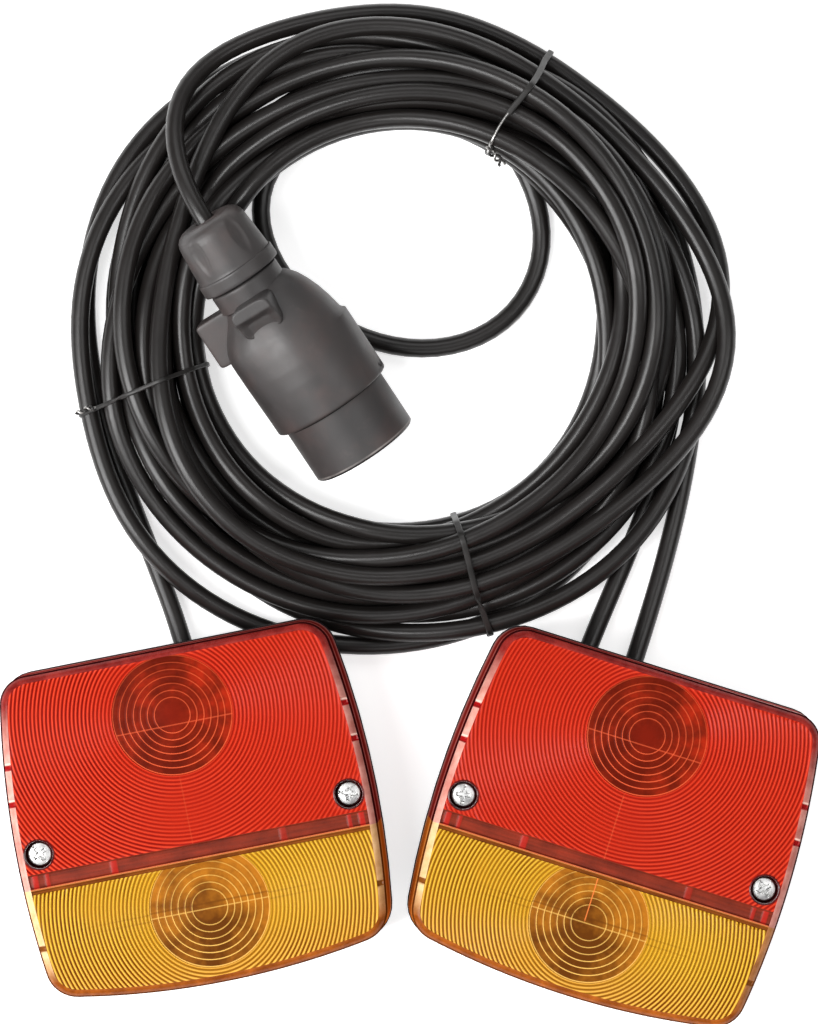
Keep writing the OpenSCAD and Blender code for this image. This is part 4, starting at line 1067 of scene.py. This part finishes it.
def band_material(name, lamp, upper):
    t = Tree(name)
    p, u, v, z = local_mm(t, lamp)
    n = t.noise(0.09, 4.0, 0.6, p)
    fine = t.noise(1.5, 3.0, 0.6, p)
    streak = t.noise(0.5, 3.0, 0.6, t.node("Mapping", p_vector_type="POINT", Vector=p, Scale=(0.08, 1.6, 1.0)).outputs[0])
    if upper:
        col = t.ramp(t.math("MULTIPLY_ADD", streak, 0.5, t.math("MULTIPLY", n, 0.5)), [(0.36, srgb(92, 32, 20)), (0.5, srgb(116, 40, 24)), (0.64, srgb(140, 46, 28))])
        for c, w, show in ((-54.0, 1.0, 0.7), (54.0, 1.0, 0.7), (-50.0, 0.7, 0.55), (50.0, 0.7, 0.55), (-28.0, 1.2, 0.65), (28.0, 1.2, 0.35)):
            d = t.math("ABSOLUTE", t.math("SUBTRACT", u, c))
            col = t.mix(t.math("MULTIPLY", t.remap(d, w * 0.7, w * 1.1, show, 0.0), t.remap(v, 4.4, 4.7, 1.0, 0.0)), col, srgb(178, 32, 26))
        # painted highlight: a light line along the lip at the seam
        col = t.mix(t.remap(v, 0.3, 0.2, 0.0, 0.85), col, srgb(216, 112, 66))
    else:
        # painted shade: the recessed band at the seam is dark brown
        col = t.ramp(t.math("MULTIPLY_ADD", streak, 0.5, t.math("MULTIPLY", n, 0.5)), [(0.36, srgb(84, 38, 10)), (0.64, srgb(138, 74, 22))])
        # painted highlight: a light line along the lip at the seam
        col = t.mix(t.remap(v, -0.25, -0.12, 0.0, 0.85), col, srgb(220, 140, 76))
    t.put(Base_Color=col, Roughness=t.remap(fine, 0.3, 0.7, 0.24, 0.38), Normal=t.bump(fine, 0.00005, 0.3), IOR=1.49, Specular_IOR_Level=0.1)
    return t.m

def well_material(name):
    t = Tree(name)
    n = t.noise(260.0, 4.0, 0.6)
    t.put(Base_Color=t.ramp(n, [(0.35, srgb(58, 10, 10)), (0.7, srgb(100, 18, 18))]), Roughness=t.remap(n, 0.3, 0.7, 0.16, 0.3), Normal=t.bump(n, 0.00003, 0.3), IOR=1.49, Specular_IOR_Level=0.3)
    return t.m

def zinc_material():
    t = Tree("zinc_look")
    n = t.noise(520.0, 4.0, 0.6)
    w = t.noise(1500.0, 3.0, 0.6)
    t.put(Base_Color=t.ramp(n, [(0.35, srgb(196, 196, 196)), (0.7, srgb(232, 232, 230))]), Metallic=1.0, Roughness=t.remap(n, 0.3, 0.75, 0.3, 0.44), Normal=t.bump(w, 0.00002, 0.3))
    return t.m

ZINC = zinc_material()
WELL = well_material("lens_well")

def screws_object(name, lamp, turns_):
    """lens screws: crowned head with a cross and a slot, a shank down to the tray"""
    V, F = [], []
    for (wx, wy), tr in zip(WELLS, turns_):
        s, nr = 96, 40
        ca, sa = math.cos(tr), math.sin(tr)
        base = len(V)
        rr = [4.0 * k / nr for k in range(nr + 1)]
        for r in rr:
            for k in range(s):
                a = 2 * math.pi * k / s
                x, y = r * math.cos(a), r * math.sin(a)
                p, q = x * ca + y * sa, -x * sa + y * ca
                def groove(a_, b_, w, l, soft=0.16):
                    return min(1.0, max(0.0, (w - abs(a_)) / soft)) * min(1.0, max(0.0, (l - abs(b_)) / soft))
                cut = max(1.7 * groove(p, q, 0.62, 2.3), 1.7 * groove(q, p, 0.62, 2.3), 0.5 * groove(p, q, 0.3, 3.3))
                e = (p + q) / math.sqrt(2), (p - q) / math.sqrt(2)
                cut = max(cut, 0.4 * groove(e[0], e[1], 0.2, 1.6), 0.4 * groove(e[1], e[0], 0.2, 1.6))
                dome = 44.0 - 0.35 * (r / 4.0) ** 2 - max(0.0, r - 3.55) ** 2 * 3.2
                V.append((wx + x, wy + y, dome - cut * min(1.0, (4.0 - r) / 0.3 if r < 4.0 else 0.0)))
        for i in range(nr):
            for k in range(s):
                F.append((base + i * s + k, base + (i + 1) * s + k, base + (i + 1) * s + (k + 1) % s, base + i * s + (k + 1) % s))
        rim = base + nr * s
        low = len(V)
        prof = [(4.0, 42.2), (3.9, 41.1), (1.6, 41.1), (1.6, 14.0), (0.2, 12.6)]
        for r, z in prof:
            V.extend([(wx + r * math.cos(2 * math.pi * k / s), wy + r * math.sin(2 * math.pi * k / s), z) for k in range(s)])
        prev = rim
        for i in range(len(prof)):
            cur = low + i * s
            F += [(prev + k, cur + k, cur + (k + 1) % s, prev + (k + 1) % s) for k in range(s)]
            prev = cur
        F.append(tuple(prev + k for k in range(s))[::-1])
    out = [(*on_lamp(x, y, lamp), z) for x, y, z in V]
    o = mesh_object(name, out, F, (ZINC,))
    bm = bmesh.new(); bm.from_mesh(o.data)
    bmesh.ops.remove_doubles(bm, verts=bm.verts, dist=0.00001)
    bmesh.ops.recalc_face_normals(bm, faces=bm.faces)
    bm.to_mesh(o.data); bm.free()
    sharpen(o, 35)
    return o

for side_name, lamp, tr in (("left", LEFT, (0.5, 1.25)), ("right", RIGHT, (0.15, 0.8))):
    for colour, upper in (("red", True), ("amber", False)):
        mats = (field_material("%s_%s_field" % (side_name, colour), lamp, upper, False), wall_material("%s_%s_wall" % (side_name, colour), lamp, upper),
                bevel_material("%s_%s_bevel" % (side_name, colour), lamp, upper), band_material("%s_%s_band" % (side_name, colour), lamp, upper), WELL,
                field_material("%s_%s_disc" % (side_name, colour), lamp, upper, True))
        o = lens_object("%s_%s_lens_look" % (side_name, colour), lamp, upper, mats)
        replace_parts(o, "%s_%s_lens" % (side_name, colour))
    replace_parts(screws_object("%s_lens_screws_look" % side_name, lamp, tr), "%s_lens_screws" % side_name)
# ---------------------------------------------------------------- finishes of the CAD pieces
def plain(name, stops, rough, noise_scale=120.0, bump=0.0001, bump_scale=600.0, metallic=0.0, wear=None, ior=1.5, **kw):
    t = Tree(name)
    n = t.noise(noise_scale, 4.0, 0.6)
    f = t.noise(bump_scale, 4.0, 0.65)
    col = t.ramp(n, [(0.3, stops[0]), (0.72, stops[1])])
    if wear:
        col = t.mix(t.remap(t.noise(noise_scale * 2.7, 6.0, 0.75), 0.62, 0.8, 0.0, wear[1]), col, wear[0])
    t.put(Base_Color=col, Roughness=t.remap(f, 0.3, 0.75, rough[0], rough[1]), Normal=t.bump(f, bump, 0.45), Metallic=metallic, IOR=ior, **kw)
    return t.m

def finish(names, mat):
    for n in names:
        for slot in bpy.data.objects[n].material_slots:
            slot.material = mat

both = lambda *names: [s + "_" + n for s in ("left", "right") for n in names]

finish(both("base"), plain("housing_black_look", (srgb(26, 22, 24), srgb(44, 36, 40)), (0.38, 0.6), 60.0, 0.00012, 900.0, wear=(srgb(86, 80, 80), 0.25), Specular_IOR_Level=0.12))
finish(both("gasket") + ["left_grommet", "right_grommets", "plug_gland_bush"], plain("seal_rubber_look", (srgb(22, 22, 22), srgb(40, 39, 38)), (0.6, 0.85), 150.0, 0.00008, 1400.0, Specular_IOR_Level=0.12))
finish(both("reflector"), plain("reflector_look", (srgb(205, 205, 200), srgb(240, 240, 236)), (0.16, 0.34), 90.0, 0.00005, 500.0, metallic=0.85))
finish(both("divider", "cable_clamp") + ["plug_carrier"], plain("baffle_look", (srgb(40, 36, 34), srgb(62, 56, 52)), (0.45, 0.65), 110.0, 0.0001, 800.0))
finish(both("tail_bulb_cap", "indicator_bulb_cap"), plain("bulb_cap_look", (srgb(178, 150, 92), srgb(214, 190, 132)), (0.2, 0.42), 300.0, 0.00005, 900.0, metallic=1.0, wear=(srgb(120, 98, 60), 0.4)))
finish(both("tail_socket", "indicator_socket"), plain("socket_look", (srgb(150, 150, 150), srgb(200, 200, 198)), (0.28, 0.5), 260.0, 0.00005, 900.0, metallic=1.0, wear=(srgb(120, 116, 108), 0.35)))
finish(both("contact_plates") + ["plug_pins"], plain("brass_look", (srgb(186, 148, 70), srgb(222, 186, 104)), (0.22, 0.42), 280.0, 0.00005, 1000.0, metallic=1.0, wear=(srgb(128, 92, 44), 0.4)))
finish(both("socket_rivets", "small_screws") + ["plug_pin_screws", "plug_body_screw"], ZINC)
finish(both("terminal_block"), plain("terminal_look", (srgb(214, 208, 194), srgb(236, 231, 218)), (0.35, 0.55), 120.0, 0.00008, 900.0))
finish(both("inner_wires") + ["plug_core_wires"], plain("core_look", (srgb(150, 60, 30), srgb(196, 92, 40)), (0.3, 0.5), 60.0, 0.00006, 900.0))

def glass_material():
    t = Tree("bulb_glass_look")
    n = t.noise(140.0, 3.0, 0.6)
    t.put(Base_Color=t.ramp(n, [(0.3, (0.93, 0.93, 0.93)), (0.7, (0.98, 0.98, 0.98))]), Roughness=t.remap(n, 0.3, 0.7, 0.02, 0.07), Normal=t.bump(n, 0.00005, 0.2), IOR=1.46, Transmission_Weight=0.85)
    return t.m
finish(both("tail_bulb_glass", "indicator_bulb_glass"), glass_material())

def plug_material(name, rim=False):
    t = Tree(name)
    big = t.noise(24.0, 3.0, 0.55)
    mid = t.noise(150.0, 5.0, 0.65)
    grain = t.noise(2300.0, 3.0, 0.7)
    col = t.ramp(big, [(0.32, srgb(46, 44, 44)), (0.7, srgb(62, 57, 56))])
    col = t.mix(t.remap(mid, 0.58, 0.8, 0.0, 0.3), col, srgb(88, 78, 76))
    col = t.mix(t.remap(t.noise(58.0, 4.0, 0.6), 0.48, 0.7, 0.0, 0.5), col, srgb(74, 58, 55))
    if rim:
        # along the plug's axis, in mm: a pale line just short of the nose's end, broken up in patches, then its dark
        # edge
        dot = t.node("VectorMath", p_operation="DOT_PRODUCT", i0=t.coords(), i1=tuple(PLUG_DIR / np.linalg.norm(PLUG_DIR) / MM))
        along = t.math("SUBTRACT", dot.outputs["Value"], float(PLUG_O @ PLUG_DIR / np.linalg.norm(PLUG_DIR)))
        pale_line = t.math("MULTIPLY", t.remap(t.math("ABSOLUTE", t.math("SUBTRACT", along, 92.0)), 0.15, 0.4, 0.6, 0.0), t.remap(mid, 0.4, 0.6, 0.3, 1.0))
        col = t.mix(pale_line, col, srgb(150, 144, 140))
        col = t.mix(t.remap(along, 92.35, 92.5, 0.0, 0.95), col, srgb(12, 11, 11))
    t.put(Base_Color=col, Roughness=t.remap(mid, 0.3, 0.75, 0.4, 0.54), Normal=t.bump(grain, 0.00007, 0.5, t.bump(mid, 0.00012, 0.3)), IOR=1.5)
    return t.m
PLUG_LOOK = plug_material("plug_plastic_look")
finish(["plug_front"], plug_material("plug_front_look", True))
# ---------------------------------------------------------------- plug: nut and shell
PA = PLUG_DIR / np.linalg.norm(PLUG_DIR)
PS = np.array([math.sin(TURN), -math.cos(TURN), 0.0])          # across the plug, level: the side towards the coil's left
PU = np.cross(PS, PA)
if PU[2] < 0:
    PU = -PU

def plug_point(t, r, ang, off=0.0):
    """ang is turned from straight up towards PS"""
    return PLUG_O + t * PA + off * PS + r * (math.cos(ang) * PU + math.sin(ang) * PS)

def step(x, a, b):
    x = min(1.0, max(0.0, (x - a) / (b - a)))
    return x * x * (3 - 2 * x)

def revolve(profile, off=0.0, sides=160, change=None):
    """a closed skin round the plug's axis; change(t, ang, r) gives the radius at an angle"""
    V, F = [], []
    for t, r in profile:
        for k in range(sides):
            a = 2 * math.pi * k / sides
            V.append(plug_point(t, change(t, a, r) if change else r, a, off))
    for i in range(len(profile) - 1):
        F += [(i * sides + k, (i + 1) * sides + k, (i + 1) * sides + (k + 1) % sides, i * sides + (k + 1) % sides) for k in range(sides)]
    F.append(tuple(range(sides)))
    F.append(tuple((len(profile) - 1) * sides + k for k in range(sides))[::-1])
    return V, F

def dense(profile, stepsize=0.6):
    out = []
    for (t0, r0), (t1, r1) in zip(profile, profile[1:]):
        n = max(1, int(math.hypot(t1 - t0, r1 - r0) / stepsize))
        out += [(t0 + (t1 - t0) * k / n, r0 + (r1 - r0) * k / n) for k in range(n)]
    return out + [profile[-1]]

def joined(name, parts, mat, angle=40):
    V, F = [], []
    for v, f in parts:
        base = len(V)
        V.extend(v); F.extend([tuple(i + base for i in g) for g in f])
    o = mesh_object(name, V, F, (mat,))
    bm = bmesh.new(); bm.from_mesh(o.data)
    bmesh.ops.recalc_face_normals(bm, faces=bm.faces)
    bm.to_mesh(o.data); bm.free()
    sharpen(o, angle)
    return o

# gland nut: domed end, wide shallow flutes with round ends, a band at its foot
FLUTES = 5
def nut_radius(t, a, r):
    if not 1.2 < t < 16.9:
        return r
    d = ((a - math.radians(40)) / (2 * math.pi / FLUTES) + 0.5) % 1.0 - 0.5
    ph = d * 360 / FLUTES / (13.5 - 0.35 * abs(t - 6.0))
    u = (t - 8.4) / 7.4
    inside = 1 - ph ** 2 - u ** 2
    return r - 0.66 * step(inside, 0.0, 1.0)

nut_profile = dense([(3.0, 3.25), (0.3, 3.3), (-0.15, 3.7), (-0.25, 6.8), (-0.15, 8.2), (0.2, 9.5), (0.9, 10.7), (1.9, 11.6), (3.2, 12.15), (5.0, 12.45), (9.5, 12.8), (14.0, 13.1), (16.8, 13.25),
                     (17.3, 13.35), (17.45, 13.75), (17.8, 13.95), (21.5, 13.95), (21.9, 13.8), (22.05, 13.4), (22.05, 11.0), (19.0, 10.9)], 0.45)
nut = joined("plug_gland_nut_look", [revolve(nut_profile, off=2.1, sides=216, change=nut_radius)], PLUG_LOOK, 34)
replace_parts(nut, "plug_gland_nut")

# shell: neck, shoulder running into the barrel, a step at the right and a fuller side under the fin at the left
SIDE_STEP, LEFT_SIDE = (math.radians(38), math.radians(66)), (math.radians(26), math.radians(72))
def shell_radius(t, a, r):
    d = (a + math.pi) % (2 * math.pi) - math.pi
    if abs(t - 66.0) < 4 and abs(d + math.radians(160)) < 0.2:
        # sunk place of the body screw
        return r - 1.45 * (1 - step(math.hypot(t - 66.0, 20.8 * (d + math.radians(160))), 2.75, 3.25))
    if d > 0:
        if not 32.5 < t < 72.3:
            return r
        full = 21.2 - 0.4 * step(t, 50.0, 72.0)
        return r + max(0.0, full - r) * step(d, *LEFT_SIDE) * (1 - step(d, math.pi - 0.8, math.pi)) * step(t, 32.5, 46.0) + max(0.0, 20.8 - r) * step(d, math.pi - 0.8, math.pi) * step(t, 48.4, 49.4)
    h = step(-d, *SIDE_STEP)
    if 48.4 < t < 72.0:
        return r + (20.8 - r) * h * step(t, 48.4, 49.4)
    return r

shell_profile = dense([(30.0, 8.0), (27.6, 9.0), (27.3, 10.2), (27.8, 11.1), (29.0, 12.3), (31.0, 13.85), (34.4, 15.6), (38.5, 17.2), (42.7, 18.4), (48.0, 19.45), (54.0, 20.3), (60.0, 20.7), (66.0, 20.8),
                       (72.2, 20.8), (72.75, 20.65), (73.0, 20.3), (73.0, 18.9), (70.0, 18.8)], 0.7)
neck_profile = dense([(20.0, 10.6), (22.6, 10.7), (22.75, 11.9), (23.0, 12.2), (23.4, 12.3), (29.5, 12.3), (30.5, 11.0)], 0.7)

def block(t0, t1, ang, w, r_in, height, square):
    """a raised block with round edges, from r_in out, w across; height(f, g) is its outer face, f along and g across (-1 to 1)"""
    a = math.radians(ang)
    up, across = math.cos(a) * PU + math.sin(a) * PS, -math.sin(a) * PU + math.cos(a) * PS
    tm, hl, hw = (t0 + t1) / 2, (t1 - t0) / 2, w / 2
    V, F, m = [], [], 120
    ring = []
    for k in range(m):
        th = 2 * math.pi * k / m
        c, s_ = math.cos(th), math.sin(th)
        ring.append((math.copysign(abs(c) ** (2.0 / square), c), math.copysign(abs(s_) ** (2.0 / square), s_)))
    levels = [(0.0, 1.0), (0.5, 1.0), (0.86, 0.992), (0.94, 0.975), (0.98, 0.945), (1.0, 0.9)] + [(1.0, f / 14.0) for f in range(12, 0, -1)]
    for f, sc in levels:
        for x, y in ring:
            top = r_in + (height(x * sc, y * sc) - r_in) * f
            V.append(PLUG_O + (tm + x * sc * hl) * PA + top * up + y * sc * hw * across)
    for i in range(len(levels) - 1):
        F += [(i * m + k, (i + 1) * m + k, (i + 1) * m + (k + 1) % m, i * m + (k + 1) % m) for k in range(m)]
    F.append(tuple((len(levels) - 1) * m + k for k in range(m)))
    F.append(tuple(range(m))[::-1])
    return V, F

def lug_top(f, g):
    return 20.6 - 2.9 * step(f, -0.3, 0.12) - 1.4 * step(f, 0.0, 1.0) + 1.3 * step(abs(g), 0.5, 0.95) * step(f, -0.3, 0.2) + 0.5 * step(f, 0.75, 1.0)

def fin_top(f, g):
    return 24.4
shell_parts = [revolve(shell_profile, sides=200, change=shell_radius), revolve(neck_profile, off=2.1, sides=120),
               block(28.0, 39.9, 18.0, 14.8, 10.0, lug_top, 4.6), block(28.2, 44.8, 105.0, 8.5, 8.0, fin_top, 16.0)]
shell = joined("plug_shell_look", shell_parts, PLUG_LOOK, 42)
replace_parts(shell, "plug_shell")

# the dark sealing ring that shows between the shell and the front
ring_v, ring_f = revolve([(72.6, 18.2), (72.6, 19.3), (73.15, 19.45), (73.45, 19.3), (73.5, 18.9), (73.5, 18.2)], sides=160)
seal = joined("plug_seal_look", [(ring_v, ring_f)], bpy.data.materials["seal_rubber_look"], 40)
# ---------------------------------------------------------------- floor, light
def floor_material():
    t = Tree("floor")
    n = t.noise(3.0, 2.0)
    col = t.ramp(n, [(0.3, (0.86, 0.86, 0.86)), (0.7, (0.885, 0.885, 0.885))])
    t.put(Base_Color=col, Roughness=0.85, Specular_IOR_Level=0.1, Emission_Color=(1.0, 1.0, 1.0), Emission_Strength=0.6)
    return t.m

me = bpy.data.meshes.new("floor")
me.from_pydata([(-3, -3, 0), (3, -3, 0), (3, 3, 0), (-3, 3, 0)], [], [(0, 1, 2, 3)])
floor = bpy.data.objects.new("floor", me)
SCENE.collection.objects.link(floor)
me.materials.append(floor_material())

world = bpy.data.worlds.new("studio")
world.use_nodes = True
SCENE.world = world
bg = world.node_tree.nodes["Background"]
bg.inputs[0].default_value = (1.0, 1.0, 1.0, 1.0)
bg.inputs[1].default_value = 0.24

def area(name, loc, target, size, power, size_y=None, color=(1, 1, 1)):
    d = bpy.data.lights.new(name, "AREA")
    d.energy = power
    d.color = color
    d.shape = "RECTANGLE"
    d.size = size
    d.size_y = size_y or size
    o = bpy.data.objects.new(name, d)
    SCENE.collection.objects.link(o)
    o.location = loc
    o.rotation_mode = "QUATERNION"
    o.rotation_quaternion = (Vector(target) - Vector(loc)).to_track_quat("-Z", "Y")
    return o

area("left_box", (-1.25, -0.3, 1.6), (0.0, 0.1, 0.0), 0.55, 62.0, 2.0)
area("right_box", (0.95, 0.1, 1.7), (0.0, 0.1, 0.0), 0.3, 8.0, 1.5)
area("top_box", (0.0, 1.4, 1.4), (0.0, 0.1, 0.0), 1.5, 8.0, 0.8)
area("low_box", (0.0, -1.3, 1.3), (0.0, 0.1, 0.0), 1.5, 7.0, 0.8)
SCENE.view_settings.view_transform = "Standard"
SCENE.view_settings.look = "None"
